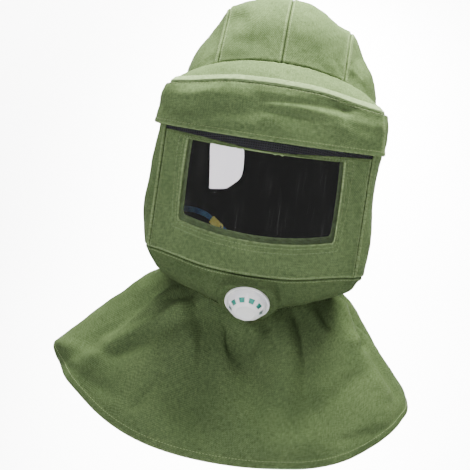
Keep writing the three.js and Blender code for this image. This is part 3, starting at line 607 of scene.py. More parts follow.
def addPiece(name, points, faces, material, replaces=(), cloth=None, wearAndPaintedShade=None):
    mesh = bpy.data.meshes.new(name)
    faces = faces.tolist() if isinstance(faces, np.ndarray) else faces
    mesh.from_pydata((np.asarray(points).reshape(-1, 3) / 1000).tolist(), [], faces)
    mesh.materials.append(material)
    if cloth is not None:
        corners = np.zeros(len(mesh.loops), int)
        mesh.loops.foreach_get("vertex_index", corners)
        layer = mesh.uv_layers.new(name="cloth")
        layer.data.foreach_set("uv", (cloth.reshape(-1, 2)[corners] / 1000).ravel())
    if wearAndPaintedShade is not None:
        layer = mesh.attributes.new("wearAndPaintedShade", "FLOAT", "POINT")
        layer.data.foreach_set("value", np.asarray(wearAndPaintedShade, float).ravel())
    mesh.polygons.foreach_set("use_smooth", [True] * len(mesh.polygons))
    mesh.update()
    piece = bpy.data.objects.new(name, mesh)
    bpy.context.scene.collection.objects.link(piece)
    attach(piece, "root")
    if replaces:
        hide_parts(*replaces)
    return piece


def thicken(piece, thick):
    layer = piece.modifiers.new("cloth", "SOLIDIFY")
    layer.thickness = thick / 1000
    layer.offset = -1
    layer.use_even_offset = False
    return piece


# Steps from 0 to 1 that lie closer together towards both ends.
def close(count, pull=0.8):
    t = np.linspace(0, 1, count)
    return t - pull * np.sin(2 * np.pi * t) / (2 * np.pi)


def facing(grid, wrap=False):
    if wrap:
        wide = np.concatenate([grid[-2:-1], grid, grid[1:2]])
        along = np.gradient(wide, axis=0)[1:-1]
    else:
        along = np.gradient(grid, axis=0)
    return unit(np.cross(np.gradient(grid, axis=1), along))


def lengths(grid, axis):
    steps = np.linalg.norm(np.diff(grid, axis=axis), axis=-1)
    start = np.zeros((1, steps.shape[1]) if axis == 0 else (steps.shape[0], 1))
    return np.concatenate([start, np.cumsum(steps, axis)], axis)


# Gathers along a seam: short waves whose height and pitch both drift.
def gathers(along, pitch, phase=0):
    drift = 1.4 * np.sin(along / 23 + phase) + np.sin(along / 9.7 + 2.1 * phase)
    return np.sin(2 * np.pi * along / pitch + drift) * (0.5 + 0.5 * np.sin(along / 17 + 3 * phase))


# A sewn edge: the canvas rolls in to the seam, stands over the seam allowance, and puckers along it.
def sewn(away, along, depth=1.3, phase=0):
    gather = gathers(along, 9, phase) + 0.6 * gathers(along, 21, phase + 1)
    return 0.35 * bell((away - 3.2) / 2.2) - depth * bell(away / 0.9) + 0.28 * gather * bell((away - 2) / 5)


# How cloth looks beside a seam: paler where its edge is worn, and darker in the seam itself, as dirt and as
# painted shade in its groove.
def seamTone(away, pale=0.5):
    return pale * bell((away - 1.9) / 1.3) - bell(away / 0.75)


# A hem: a fold of a width and height, with its stitches drawn in and its edge rounded off.
def hemmed(away, fold):
    flat = fold["high"] * ease(fold["wide"] - away, 0, fold["step"])
    return flat - fold["drawn"] * bell((away - fold["stitches"]) / 0.8) - fold["round"] * bell(away / 0.9)


# Waves of cloth: a few plane waves of about one length, in random directions.
def ripples(points, size, high, seed, stretch=(1, 1, 1)):
    random = np.random.default_rng(seed)
    count, total = 7, 0
    for _ in range(count):
        way = unit(random.normal(size=3)) * np.array(stretch)
        wave = 2 * np.pi / (size * random.uniform(0.7, 1.5))
        total = total + np.sin(points @ way * wave + random.uniform(0, 2 * np.pi))
    return high * total / math.sqrt(count)


# Slack cloth: waves of a few lengths, heights and seeds together.
def slackOf(points, waves):
    return sum(ripples(points, *wave) for wave in waves)


# Folds and dents as they show in the photograph: each runs between two ends in pixels, with a width in
# pixels and a height in millimetres. Cloth further back than a limit is left as it is.
foldColumns = "fromX fromY toX toY wide high"


def foldsOf(points, rows, limit=1e9):
    x, y = inPhoto(points)
    total = 0
    for row in each(rows):
        dx, dy = row["toX"] - row["fromX"], row["toY"] - row["fromY"]
        long = math.hypot(dx, dy)
        along = ((x - row["fromX"]) * dx + (y - row["fromY"]) * dy) / long
        aside = ((x - row["fromX"]) * dy - (y - row["fromY"]) * dx) / long
        past = np.maximum(np.maximum(-along, along - long), 0)
        total = total + row["high"] * bell(aside / row["wide"]) * bell(past / (row["wide"] * 1.5))
    return total * (points[..., 1] < limit)


def quads(count, depth, wrap=False):
    i, j = np.meshgrid(np.arange(count - 1), np.arange(depth - 1), indexing="ij")
    after = (i + 1) % (count - 1) if wrap else i + 1
    here, beyond = i * depth + j, after * depth + j
    return np.stack([here, here + 1, beyond + 1, beyond], -1).reshape(-1, 4)


# One panel of cloth from a grid of its outside, with its length along the cloth for the weave.
def addPanel(name, grid, material, replaces, wearAndPaintedShade=None, thick=canvas, wrap=False, cloth=None):
    across, down = lengths(grid, 0), lengths(grid, 1)
    if cloth is None:
        cloth = np.stack([across - across[len(across) // 2], down], -1)
    faces = quads(*grid.shape[:2], wrap)
    used = grid[:-1] if wrap else grid
    tone = None if wearAndPaintedShade is None else wearAndPaintedShade[: len(used)]
    piece = addPiece(name, used, faces, material, replaces, cloth[: len(used)], tone)
    return thicken(piece, thick)


# A line on a grid at a distance in from one of its edges, as points or as the values given with them.
def lineAt(grid, edge, inset, values=None):
    work = np.concatenate([grid, grid if values is None else values], -1)
    work = work.swapaxes(0, 1) if edge in ("first", "last") else work
    work = work[:, ::-1] if edge in ("last", "bottom") else work
    run = lengths(work[..., :3], 1)
    return np.array([[np.interp(inset, run[i], work[i, :, k]) for k in (3, 4, 5)] for i in range(len(work))])


# The values at places along a line, from the values at its points.
def onLine(values, run, places):
    return np.stack([np.interp(places, run, values[:, k]) for k in range(3)], -1)


stitch = {
    "long": 2.4, "pitch": 3.3, "thick": 0.26, "sides": 5,
    # along the stitch, how far its thread stands over the cloth, and how thick it is
    "rings": ((-0.5, -0.3, 0.3), (-0.3, 0.22, 0.95), (0.3, 0.22, 0.95), (0.5, -0.3, 0.3)),
}
threads = {}


# Sewing thread: small rounded stitches that dip into the cloth at both ends.
def sew(group, line, normals):
    run = np.concatenate([[0], np.cumsum(np.linalg.norm(np.diff(line, axis=0), axis=1))])
    long, pitch, thick = stitch["long"], stitch["pitch"], stitch["thick"]
    middles = np.arange(pitch / 2, run[-1] - pitch / 2, pitch)
    if not len(middles):
        return
    normal = unit(onLine(normals, run, middles))
    ahead = unit(onLine(line, run, middles + long / 2) - onLine(line, run, middles - long / 2))
    side = unit(np.cross(ahead, normal))
    rings = []
    for share, rise, wide in stitch["rings"]:
        centre = onLine(line, run, middles + share * long) + normal * rise * thick
        for k in range(stitch["sides"]):
            angle = 2 * np.pi * k / stitch["sides"]
            rings.append(centre + (side * math.cos(angle) + normal * math.sin(angle)) * wide * thick)
    threads.setdefault(group, []).append(np.stack(rings, 1))


def addThreads(group, material):
    points = np.concatenate(threads.pop(group))
    sides, rings = stitch["sides"], len(stitch["rings"])
    corners = sides * rings
    tube = []
    for ring in range(rings - 1):
        for k in range(sides):
            a, b = ring * sides + k, ring * sides + (k + 1) % sides
            tube.append((a, b, b + sides, a + sides))
    ends = [tuple(range(sides))[::-1], tuple(range(corners - sides, corners))]
    faces = [tuple(v + corners * n for v in face) for n in range(len(points)) for face in tube + ends]
    addPiece(group, points.reshape(-1, 3), faces, material, cloth=np.zeros((points.size // 3, 2)))


def topstitch(group, grid, rows):
    for edge, inset in rows:
        sew(group, lineAt(grid, edge, inset), lineAt(grid, edge, inset, facing(grid)))


def gridOf(point, turns, rows):
    return point(np.asarray(turns)[:, None], np.asarray(rows)[None, :])


# A panel's cloth between its sewn edges: rolled in at each seam, puckered beside it, and slack between.
def fitted(grid, edges, loose, seed, relief=0, inner=False):
    across, down = lengths(grid, 0), lengths(grid, 1)
    gaps = {"first": across, "last": across[-1:] - across, "top": down, "bottom": down[:, -1:] - down}
    runs = {"first": down, "last": down, "top": across, "bottom": across}
    free, rolled, tone = 1, 0, 0 * down
    for k, edge in enumerate(edges):
        free = free * ease(gaps[edge], 0, 14)
        rolled = rolled + sewn(gaps[edge], runs[edge], 1.1, phase=seed + k)
        tone = tone + seamTone(gaps[edge])
    slack = slackOf(grid, [(48, 0.55 * loose, seed), (19, 0.2 * loose, seed + 1)]) + relief
    slack = np.maximum(slack, 1.1 * np.tanh(slack / 1.1)) if inner else slack
    return grid + facing(grid) * (rolled + slack * free)[..., None], np.clip(tone, -1, 1)


# Works out the area of a sheet's cut from its faces, held between a share of its flat size and the whole of
# it; nothing is done with it.
def declare(piece, wide, tall, held):
    area = sum(face.area for face in piece.data.polygons)
    area = min(max(area, wide * tall / 3.3e6), wide * tall / 1e6)


def declareGrid(piece, grid, held):
    declare(piece, lengths(grid, 0)[-1].max(), lengths(grid, 1)[:, -1].max(), held)


allEdges = ["first", "last", "top", "bottom"]

crown = {
    "rounds": 361, "reach": 0.01,  # points nearer together than the reach, in mm, count as one
    "rim": (106, 109),  # half the width and half the depth of its rim
    "cuts": (0, 0.4, 1, 1.8, 2.6, 3.8, 5.5, 8),  # rows of points beside each seam
    "stitches": 2.6, "slack": [(52, 0.5, 3), (16, 0.24, 4)], "free": 12,
    "panelCut": (78, 300), "sideCut": (170, 85),
}
# Dents of the crown as the photograph shows them.
crownFolds = table(
    foldColumns,
    (350, 36, 343, 62, 5, -1.2), (356, 60, 366, 92, 4, -1.6), (346, 66, 362, 80, 3, 1.2),
    (336, 62, 342, 74, 3, -1),
    (226, 24, 214, 56, 7, -1.6), (250, 14, 262, 30, 8, 0.6), (232, 40, 262, 44, 6, -0.6),
    (300, 24, 334, 30, 7, -0.6),
)


# The crown: one dome of canvas, dented and rolled in along its seams, then cut into its four panels.
def addCrown():
    rim = -1 - np.array([0.055, 0.04, 0.027, 0.017, 0.009, 0.003, 0])
    rows = np.concatenate([np.linspace(-2, -1.07, 70), rim])
    grid = gridOf(oval, np.linspace(-np.pi, np.pi, crown["rounds"]), rows)
    dome = bmesh.new()
    corners = [dome.verts.new(point) for point in grid[:-1].reshape(-1, 3)]
    for face in quads(crown["rounds"], len(rows), True):
        dome.faces.new([corners[k] for k in face])
    bmesh.ops.remove_doubles(dome, verts=dome.verts[:], dist=crown["reach"])
    half = topPanelWidth / 2
    near = np.array(crown["cuts"])
    for seam in (-half, 0, half):
        for x in np.unique(np.concatenate([seam - near, seam + near])):
            everything = dome.verts[:] + dome.edges[:] + dome.faces[:]
            bmesh.ops.bisect_plane(
                dome, geom=everything, plane_co=(x, 0, 0), plane_no=(1, 0, 0), dist=crown["reach"],
            )
    dome.normal_update()
    dome.verts.index_update()
    points = np.array([vertex.co for vertex in dome.verts])
    normals = np.array([vertex.normal for vertex in dome.verts])
    normals *= np.sign(normals @ np.array([0, 0, 1]) + 0.5)[:, None]
    faces = [[vertex.index for vertex in face.verts] for face in dome.faces]
    dome.free()
    x, y, z = points.T
    turn = np.arctan2(x / crown["rim"][0], -y / crown["rim"][1])
    rim = (z - crownTop + levelOf(turn, -1)) * 1.1
    slope = np.sqrt(np.maximum(1 - normals[:, 0] ** 2, 0.1))
    middle, outer = np.abs(x), np.abs(np.abs(x) - half) / slope
    free = ease(middle, 0, crown["free"]) * ease(outer, 0, crown["free"]) * ease(rim, 0, crown["free"])
    slack = slackOf(points, crown["slack"]) + foldsOf(points, crownFolds, 60)
    rise = sewn(middle, y, 0.9, phase=1) + sewn(outer, y, phase=2)
    rise = rise + sewn(rim, turn * 105, phase=3) + slack * free
    wearAndPaintedShade = np.clip(seamTone(middle, 0.3) + seamTone(outer, 0.4) + seamTone(rim, 0.3), -1, 1)
    points = points + normals * rise[:, None]
    for seam, side in ((0, -1), (0, 1), (half, -1), (half, 1), (-half, -1), (-half, 1)):
        row = np.flatnonzero(np.abs(x - seam - side * crown["stitches"]) < 0.02)
        row = row[np.argsort(y[row])]
        sew("stitches_crown", points[row], normals[row])
    middles = np.array([x[face].mean() for face in faces])
    tops = 100 * np.arctan2(y, z + 100)
    sides = 100 * np.arctan2(np.abs(x), z + 100)
    for name, low, high in (
        ("crown_side_left", -hoodWidth, -half), ("crown_panel_left", -half, 0),
        ("crown_panel_right", 0, half), ("crown_side_right", half, hoodWidth),
    ):
        kept = [faces[k] for k in np.flatnonzero((middles > low) & (middles < high))]
        used = np.unique(np.concatenate(kept))
        order = np.zeros(len(points), int)
        order[used] = np.arange(len(used))
        cloth = np.stack([x * 1.1, tops] if "panel" in name else [y, sides], -1)
        piece = addPiece(
            name.replace("crown", "canvas_crown"), points[used], [order[face].tolist() for face in kept],
            canvasGreen, [name], cloth[used], wearAndPaintedShade[used],
        )
        thicken(piece, canvas)
        declare(piece, *crown["panelCut" if "panel" in name else "sideCut"], "stretched")


side = {"around": 130, "down": 150, "slack": 2.2, "seed": 11, "stitches": 2.6}


def addSides():
    for hand, name in ((-1, "hood_side_left"), (1, "hood_side_right")):
        turns = np.sort(hand * mix(sideTurn, np.pi, close(side["around"])))
        grid = gridOf(outside, turns, -1 + 4 * close(side["down"]))
        grid, wearAndPaintedShade = fitted(grid, allEdges, side["slack"], side["seed"] + hand, inner=True)
        piece = addPanel("canvas_" + name, grid, canvasGreen, [name], wearAndPaintedShade)
        declareGrid(piece, grid, "stretched")
        topstitch("stitches_sides", grid, [(edge, side["stitches"]) for edge in allEdges])


brow = {"around": 300, "down": 44, "slack": 1.2, "seed": 21, "stitches": [("top", 2.6)]}
browNet = {"thick": 1, "slack": [(30, 0.4, 23)], "top": 0.01, "bottom": 0.995}
band = {
    "wide": 8, "thick": 1.4, "stand": 2, "slack": [(9, 0.14, 25)], "worn": 0.55,
    "stitches": [("top", 1.8)],
}


def addBrow():
    turns = sideTurn * (2 * close(brow["around"], 0.5) - 1)
    grid = gridOf(outside, turns, -1 + close(brow["down"]))
    grid, wearAndPaintedShade = fitted(grid, allEdges, brow["slack"], brow["seed"])
    piece = addPanel("canvas_brow", grid, canvasGreen, ["brow_panel"], wearAndPaintedShade)
    declareGrid(piece, grid, "stretched")
    topstitch("stitches_brow", grid, brow["stitches"])


def addBrowNet():
    rows = np.linspace(browNet["top"], browNet["bottom"], 50)
    net = gridOf(outside, cornerTurn * np.linspace(-1, 1, 160), rows)
    net = net + facing(net) * slackOf(net, browNet["slack"])[..., None]
    piece = addPanel("mesh_brow", net, meshBlack, ["brow_mesh"], thick=browNet["thick"])
    declareGrid(piece, net, "stretched")


def addBand():
    long = np.linalg.norm(outside(0, -1) - outside(0, 0))
    rows = -band["wide"] / long * (1 - close(24))
    strip = gridOf(outside, flapTurn * np.linspace(-1, 1, 300), rows)
    down, across = lengths(strip, 1), lengths(strip, 0)
    away = np.minimum(down, down[:, -1:] - down)
    ends = np.minimum(across, across[-1:] - across)
    rise = band["stand"] - 1.5 * bell(away / 0.9) - 1.5 * bell(ends / 1.2) + slackOf(strip, band["slack"])
    strip = strip + facing(strip) * rise[..., None]
    worn = band["worn"] + 0.45 * bell(across / 9) + 0 * down
    piece = addPanel("canvas_band", strip, tapeGreen, ["brow_band"], worn, thick=band["thick"])
    declareGrid(piece, strip, "folded")
    topstitch("stitches_band", strip, band["stitches"])


flap = {
    "thick": 2.4, "around": 320, "down": 90,
    "tuck": 0.05,  # the share by which its right end turns in at the foot
    "hem": {"high": 0.5, "wide": 6.5, "step": 1.2, "drawn": 0.35, "stitches": 5.4, "round": 1.3},
    "end": {"high": 0.4, "wide": 5.5, "step": 1.2, "drawn": 0.35, "stitches": 4.6, "round": 1.3},
    "slack": [(60, 0.5, 31, (1, 1, 2)), (20, 0.14, 32)],
    "creaseX": 383.5,  # the pixel column of the crease by the right end
    "stitches": [("bottom", 5.4), ("first", 4.6), ("last", 4.6), ("top", 2.6)],
}
flapFolds = table(
    foldColumns,
    (206, 98, 258, 106, 7, -2.4), (262, 98, 345, 107, 7, -5), (268, 118, 340, 126, 8, 3.6),
    (180, 96, 206, 92, 7, 2), (350, 112, 372, 120, 6, -1.4), (205, 116, 250, 124, 7, 1.4),
    (176, 108, 204, 114, 6, -1.2), (346, 130, 368, 138, 6, 1.4),
)


# The brow flap: canvas folded over at its lower edge and hemmed, hanging from the brow seam.
def addFlap():
    turns, rows = flapTurn * (2 * close(flap["around"], 0.6) - 1), close(flap["down"])
    tucked = 1 - flap["tuck"] * ease(turns[:, None] / flapTurn, 0.6, 1) * ease(rows[None, :], 0.55, 1)
    grid = flapPoint(turns[:, None] * tucked, rows[None, :])
    down, across = lengths(grid, 1), lengths(grid, 0)
    foot = down[:, -1:] - down
    ends = np.minimum(across, across[-1:] - across)
    folds = slackOf(grid, flap["slack"]) + foldsOf(grid, flapFolds)
    pucker = 0.3 * gathers(across, 11, 2) * bell((foot - 9) / 5)
    x, _ = inPhoto(grid)
    crease = bell((x - flap["creaseX"]) / 1.3) * ease(down, 4, 16)
    rise = hemmed(foot, flap["hem"]) + hemmed(ends, flap["end"]) + sewn(down, across, phase=4)
    rise = rise + folds * ease(down, 0, 6) * ease(foot, 2, 12) + pucker + 0.8 * crease
    # Painted shade: the cloth just under the band is coloured darker, as the band's shadow would make it. The
    # hem and the ends are worn paler, and the crease by the right end is coloured paler.
    shade = bell((down - 1.2) / (1.5 + 0.6 * gathers(across, 26, 3)))
    wearAndPaintedShade = np.clip(0.4 * bell(foot / 1.4) + 0.3 * bell(ends / 1.4) + 0.6 * crease - shade, -1, 1)
    grid = grid + facing(grid) * rise[..., None]
    piece = addPanel(
        "canvas_flap", grid, canvasGreen, ["brow_flap"], wearAndPaintedShade, thick=flap["thick"],
    )
    declareGrid(piece, grid, "hung")
    topstitch("stitches_flap", grid, flap["stitches"])


windowTop = crownTop - levelOf(0, 1) - windowMargin
# Points along the eight stretches of a ring round the window: a corner, a long side, a corner, a short side.
ringSteps = [8, 158, 8, 78] * 2


def bow(a, pull, b, count):
    t = np.linspace(0, 1, count, endpoint=False)[:, None]
    a, pull, b = (np.array(p, float) for p in (a, pull, b))
    return (1 - t) ** 2 * a + 2 * t * (1 - t) * pull + t * t * b


# The window's outline seen from the front, grown or shrunk, from its lower left corner to the right.
def windowLine(ends=0, top=0, bottom=0):
    r, x = windowCorner, windowHalf + ends
    high = windowTop + windowDip + top
    low = high - top - windowHeight - bottom
    middle = windowTop + windowDip - windowHeight / 2 + (top - bottom) / 2
    left, right = -x - windowLean, x - windowLean
    dip = windowSag / 5
    spots = [
        (-x, low + r), (r - x, low - dip), (x - r, low - dip), (x, low + r),
        (right, high - r), (right - r, high), (left + r, high), (left, high - r),
    ]
    bent = 2 * windowBow
    pulls = [
        (-x, low), (0, low + dip - 2 * windowSag), (x, low), ((x + right) / 2 + bent, middle),
        (right, high), (-windowLean, high - 2 * windowDip), (left, high), ((left - x) / 2 - bent, middle),
    ]
    parts = [bow(spots[k], pulls[k], spots[(k + 1) % 8], ringSteps[k]) for k in range(8)]
    return np.concatenate(parts + [parts[0][:1]])


# The face panel's outline, with points that answer to those of the window's outline.
def panelLine():
    near = faceHalf - 3
    low, high = (crownTop - levelOf(cornerTurn, row) for row in (2, 1))
    stretches = [
        (2, -faceHalf, -near), (2, -near, near), (2, near, faceHalf), (faceHalf, low, high),
        (1, faceHalf, near), (1, near, -near), (1, -near, -faceHalf), (-faceHalf, high, low),
    ]
    parts = []
    for (row, start, end), count in zip(stretches, ringSteps):
        run = np.linspace(start, end, count, endpoint=False)
        if count == ringSteps[3]:
            parts.append(np.stack([0 * run + row, run], -1))
        else:
            parts.append(np.stack([run, crownTop - levelOf(run / faceHalf * cornerTurn, row)], -1))
    return np.concatenate(parts + [parts[0][:1]])


# The front's bent face at places seen from the front, set in by a depth.
def onFace(flat, inset=0):
    x, z = flat[..., 0], flat[..., 1]
    grid = at(x, cornerSetback * (x / faceHalf) ** 2 - faceReach, z)
    return grid - unit(at(x * 2 * cornerSetback / faceHalf**2, -1, 0)) * inset


def ringGrid(inner, outer, shares, inset=0):
    return onFace(mix(inner[:, None], outer[:, None], np.asarray(shares)[None, :, None]), inset)


face = {
    "cut": (225, 135), "down": 70, "slack": [(30, 0.45, 41), (13, 0.16, 42)],
    "fold": 6, "foldStitches": 5.2, "secondStitches": 10.5,
    "stitches": (("top", 5.2), ("top", 10.5), ("bottom", 2.8)),
    "broad": 15,  # a narrower panel than this has no folded edge of its own
}
faceFolds = table(
    foldColumns,
    (240, 253, 258, 254, 3, -1.1), (225, 256, 262, 258, 5, -0.8), (160, 250, 168, 253, 2.5, -1.6),
    (176, 248, 206, 254, 6, 0.9), (330, 250, 345, 262, 7, 1.4), (345, 268, 330, 276, 4, -1),
    (296, 268, 330, 276, 5, 0.8), (156, 226, 172, 236, 5, 0.9), (350, 200, 346, 250, 4, -0.6),
    (262, 268, 292, 272, 4, -0.9), (170, 150, 166, 200, 4, -0.5),
)


def addFace():
    grid = ringGrid(windowLine(), panelLine(), close(face["down"], 0.9))
    down, across = lengths(grid, 1), lengths(grid, 0)
    border = down[:, -1:] - down
    full = ease(down[:, -1:], 3, face["broad"])
    folded = 0.45 * ease(face["fold"] - down, 0, 1.3) - 0.25 * bell((down - face["foldStitches"]) / 0.7)
    folded = folded - 1.5 * bell(down / 0.6) - 0.2 * bell((down - face["secondStitches"]) / 0.8)
    loose = slackOf(grid, face["slack"]) + foldsOf(grid, faceFolds)
    loose = loose * ease(down, 5, 14) * ease(border, 0, 10)
    pucker = 0.2 * gathers(across, 13, 6) * bell((down - 7) / 4)
    rise = (folded + pucker + loose + sewn(border, across, 0.9, phase=5)) * full
    # The window's folded edge is coloured paler, as edge wear and as a painted highlight along the fold. The
    # border takes the seam's tone.
    wearAndPaintedShade = np.clip(1.2 * bell((down - 0.4) / 0.8) + seamTone(border, 0.4), -1, 1)
    grid = grid + unit(at(grid[..., 0] * 2 * cornerSetback / faceHalf**2, -1, 0)) * rise[..., None]
    piece = addPanel(
        "canvas_face", grid, canvasGreen, ["face_panel"], wearAndPaintedShade, wrap=True,
        cloth=grid[..., [0, 2]],
    )
    declare(piece, *face["cut"], "stretched")
    normals = facing(grid)
    broad = np.flatnonzero(down[:, -1] > face["broad"])
    for rows in np.split(broad, np.flatnonzero(np.diff(broad) > 1) + 1):
        part, lean = grid[rows], normals[rows]
        for edge, inset in face["stitches"]:
            sew("stitches_face", lineAt(part, edge, inset), lineAt(part, edge, inset, lean))


lens = {
    "thick": 1, "half": 90, "low": 101, "across": 120, "down": 60, "cut": (183, 105),
    "inset": canvas + 0.4,
}
lip = {
    "thick": 1.3, "shown": (-3, 0, -6), "hidden": (14, 1.3, 13), "inset": canvas + 1.8, "down": 30,
    "slack": [(16, 0.2, 44)], "cut": (190, 110),
}


# The clear sheet behind the canvas. Its top follows the seam, and its foot lies below the window.
def addLens():
    across = np.linspace(-lens["half"], lens["half"], lens["across"])
    seam = crownTop - levelOf(across / faceHalf * cornerTurn, 1) - 0.7
    height = mix(seam[:, None], windowTop - lens["low"], np.linspace(0, 1, lens["down"]))
    grid = onFace(np.stack(np.broadcast_arrays(across[:, None], height), -1), lens["inset"])
    faces = quads(lens["across"], lens["down"])
    piece = addPiece("sheet_lens", grid, faces, lensClear, ["window_lens"], grid[..., [0, 2]])
    thicken(piece, lens["thick"])
    declare(piece, *lens["cut"], "stretched")


def addLip():
    inner, outer = windowLine(*lip["shown"]), windowLine(*lip["hidden"])
    grid = ringGrid(inner, outer, close(lip["down"], 0.9), lip["inset"])
    run = lengths(grid, 1)
    grid = grid + facing(grid) * (slackOf(grid, lip["slack"]) - 1.2 * bell(run / 0.9))[..., None]
    # Coloured a little paler all over, and paler still along the inner edge: a painted highlight on the lit
    # edge, and edge wear.
    wearAndPaintedShade = 0.2 + 0.5 * bell(run / 1.2)
    piece = addPanel(
        "canvas_facing", grid, canvasGreen, ["window_facing"], wearAndPaintedShade,
        thick=lip["thick"], wrap=True,
    )
    declare(piece, *lip["cut"], "folded")


# A tube along an open line, with one radius or one for each of its points.
def tubeGrid(line, radius, sides):
    ahead = unit(np.gradient(line, axis=0))
    out = unit(line - line.mean(0) + np.array([0, 1e-3, 0]))
    aside = unit(np.cross(ahead, out))
    out = np.cross(aside, ahead)
    angle = np.linspace(0, 2 * np.pi, sides, endpoint=False)
    ring = out[:, None] * np.cos(angle)[None, :, None] + aside[:, None] * np.sin(angle)[None, :, None]
    return line[:, None] + ring * np.broadcast_to(radius, len(line))[:, None, None]


def tubeFaces(count, sides):
    faces = []
    for i in range(count - 1):
        for k in range(sides):
            turn = (k + 1) % sides
            faces.append((i * sides + k, i * sides + turn, (i + 1) * sides + turn, (i + 1) * sides + k))
    return faces + [tuple(range(sides))[::-1], tuple(range((count - 1) * sides, count * sides))]


gusset = {"around": 54, "down": 150, "slack": 1.2, "seed": 51, "stitches": 3}
piping = {"radius": 1.5, "stand": 1.7, "top": 0.24, "bottom": 1.96, "points": 160, "sides": 14, "long": 140}


def addCorners():
    for hand, name in ((-1, "left"), (1, "right")):
        turns = np.sort(hand * mix(cornerTurn, sideTurn, close(gusset["around"])))
        grid = gridOf(outside, turns, 2 * close(gusset["down"]))
        grid, wearAndPaintedShade = fitted(grid, ["first", "last", "bottom"], gusset["slack"], gusset["seed"] + hand)
        part = "gusset_" + name
        piece = addPanel("canvas_" + part, grid, canvasGreen, [part], wearAndPaintedShade)
        declareGrid(piece, grid, "stretched")
        topstitch("stitches_gussets", grid, [("last" if hand < 0 else "first", gusset["stitches"])])

        count, sides = piping["points"], piping["sides"]
        line = outside(np.full(count, hand * cornerTurn), np.linspace(piping["top"], piping["bottom"], count))
        line = line + unit(np.array([hand, -1, 0])) * piping["stand"]
        run = np.linspace(0, 1, count)
        radius = piping["radius"] + 0.12 * np.sin(run * 90) + 0.1 * np.sin(run * 37)
        radius = radius * np.sqrt(np.clip(np.minimum(run, 1 - run) * 90, 0.05, 1))
        tube = tubeGrid(line, radius, sides)
        around = np.arange(sides) * 2 * np.pi * piping["radius"] / sides
        cloth = np.stack(np.broadcast_arrays(around, np.linspace(0, piping["long"], count)[:, None]), -1)
        addPiece(
            "canvas_piping_" + name, tube, tubeFaces(count, sides), canvasGreen,
            ["piping_" + name], cloth, np.full(tube.shape[:2], 0.35),
        )


# Places beside the valve, from their distance from its axis, their turn round it and their height.
valveUp = unit(np.cross(np.array([1, 0, 0]), valveNormal))


def onValve(radius, angle, height):
    spoke = np.cos(angle)[..., None] * np.array([1, 0, 0]) + np.sin(angle)[..., None] * valveUp
    return valveSpot + radius[..., None] * spoke + height[..., None] * valveNormal


chin = {
    "around": 300, "down": 110, "hole": 12.8, "slack": [(36, 1.1, 62), (15, 0.3, 63)], "seed": 61,
    "shade": 0.42, "stitches": [("top", 2.8), ("bottom", 2.8)],
}
chinFolds = table(
    foldColumns,
    (158, 250, 170, 254, 2.5, -1.4), (160, 262, 186, 290, 5, 2), (176, 262, 202, 268, 3, -1.6),
    (228, 282, 270, 284, 5, -1.6), (200, 276, 228, 290, 6, 1.4), (296, 284, 350, 288, 6, 1.2),
    (352, 284, 362, 280, 3, -1.2), (276, 292, 312, 302, 5, -1.2),
)


def addChin():
    around, depth = chin["around"], chin["down"]
    grid = gridOf(withPad, sideTurn * (2 * close(around, 0.6) - 1), 2 + close(depth))
    away = np.linalg.norm(grid - valveSpot, axis=-1)
    relief = foldsOf(grid, chinFolds) * ease(away, 26, 36)
    grid, wearAndPaintedShade = fitted(grid, allEdges, 0, chin["seed"], relief)
    slack = slackOf(grid, chin["slack"]) * ease(away, 26, 40)
    down, across = lengths(grid, 1), lengths(grid, 0)
    edges = np.minimum(np.minimum(down, down[:, -1:] - down), np.minimum(across, across[-1:] - across))
    grid = grid + facing(grid) * (slack * ease(edges, 0, 14))[..., None]
    # Painted shade: the whole chin panel is coloured darker, as the shade under the face would make it.
    wearAndPaintedShade = np.clip(wearAndPaintedShade - chin["shade"], -1, 1)
    cloth = np.stack([across - across[around // 2], down], -1)
    faces = quads(around, depth)
    inside = (away.ravel()[faces] < chin["hole"]).all(1)
    piece = addPiece(
        "canvas_chin", grid, faces[~inside], canvasGreen, ["chin_panel"], cloth, wearAndPaintedShade,
    )
    thicken(piece, canvas)
    declareGrid(piece, grid, "stretched")
    topstitch("stitches_chin", grid, chin["stitches"])


# A moulded part turned round the valve's axis from a closed profile of radii and heights.
def addTurned(name, profile, material, replaces, sides=144):
    profile = np.array(profile, float)
    count = len(profile)
    angle = np.linspace(0, 2 * np.pi, sides, endpoint=False)
    radius, height = (np.repeat(profile[None, :, k], sides, 0) for k in (0, 1))
    points = onValve(radius, np.repeat(angle[:, None], count, 1), height)
    faces = []
    for i in range(sides):
        a, b = i * count, (i + 1) % sides * count
        for c in range(count):
            d = (c + 1) % count
            faces.append([a + c, a + d, b + d, b + c])
    return addPiece(name, points, faces, material, replaces)


def rounded(corners, radius=0.35, steps=4):
    corners = np.array(corners, float)
    points = []
    for before, corner, after in zip(np.roll(corners, 1, 0), corners, np.roll(corners, -1, 0)):
        reach = min(radius, np.linalg.norm(before - corner) / 2.2, np.linalg.norm(after - corner) / 2.2)
        a, b = corner + unit(before - corner) * reach, corner + unit(after - corner) * reach
        for t in np.linspace(0, 1, steps):
            points.append((1 - t) ** 2 * a + 2 * t * (1 - t) * corner + t * t * b)
    return np.array(points)


valve = {
    "base": [
        (8.5, -7.55), (12, -7.55), (12, 0.35), (23, 0.35), (23, 3.3), (21.9, 3.3), (21.5, 1.95), (8.5, 1.95),
    ],
    "clip": [(12.4, -5.55), (16, -5.55), (16, -3.55), (12.4, -3.55)],
    "capFoot": 2.3, "capRound": 10, "capWall": 1.2, "sides": 240,
    "shoulder": 15.2,  # the cap's radius at its windows
    "rib": 0.5,  # how far the ribs between the windows stand out
    "dish": 0.4,  # how deep the middle of the face lies
    "skinOut": 1.75, "skinIn": 2.8,  # the membrane's two sides, inside the cap
}


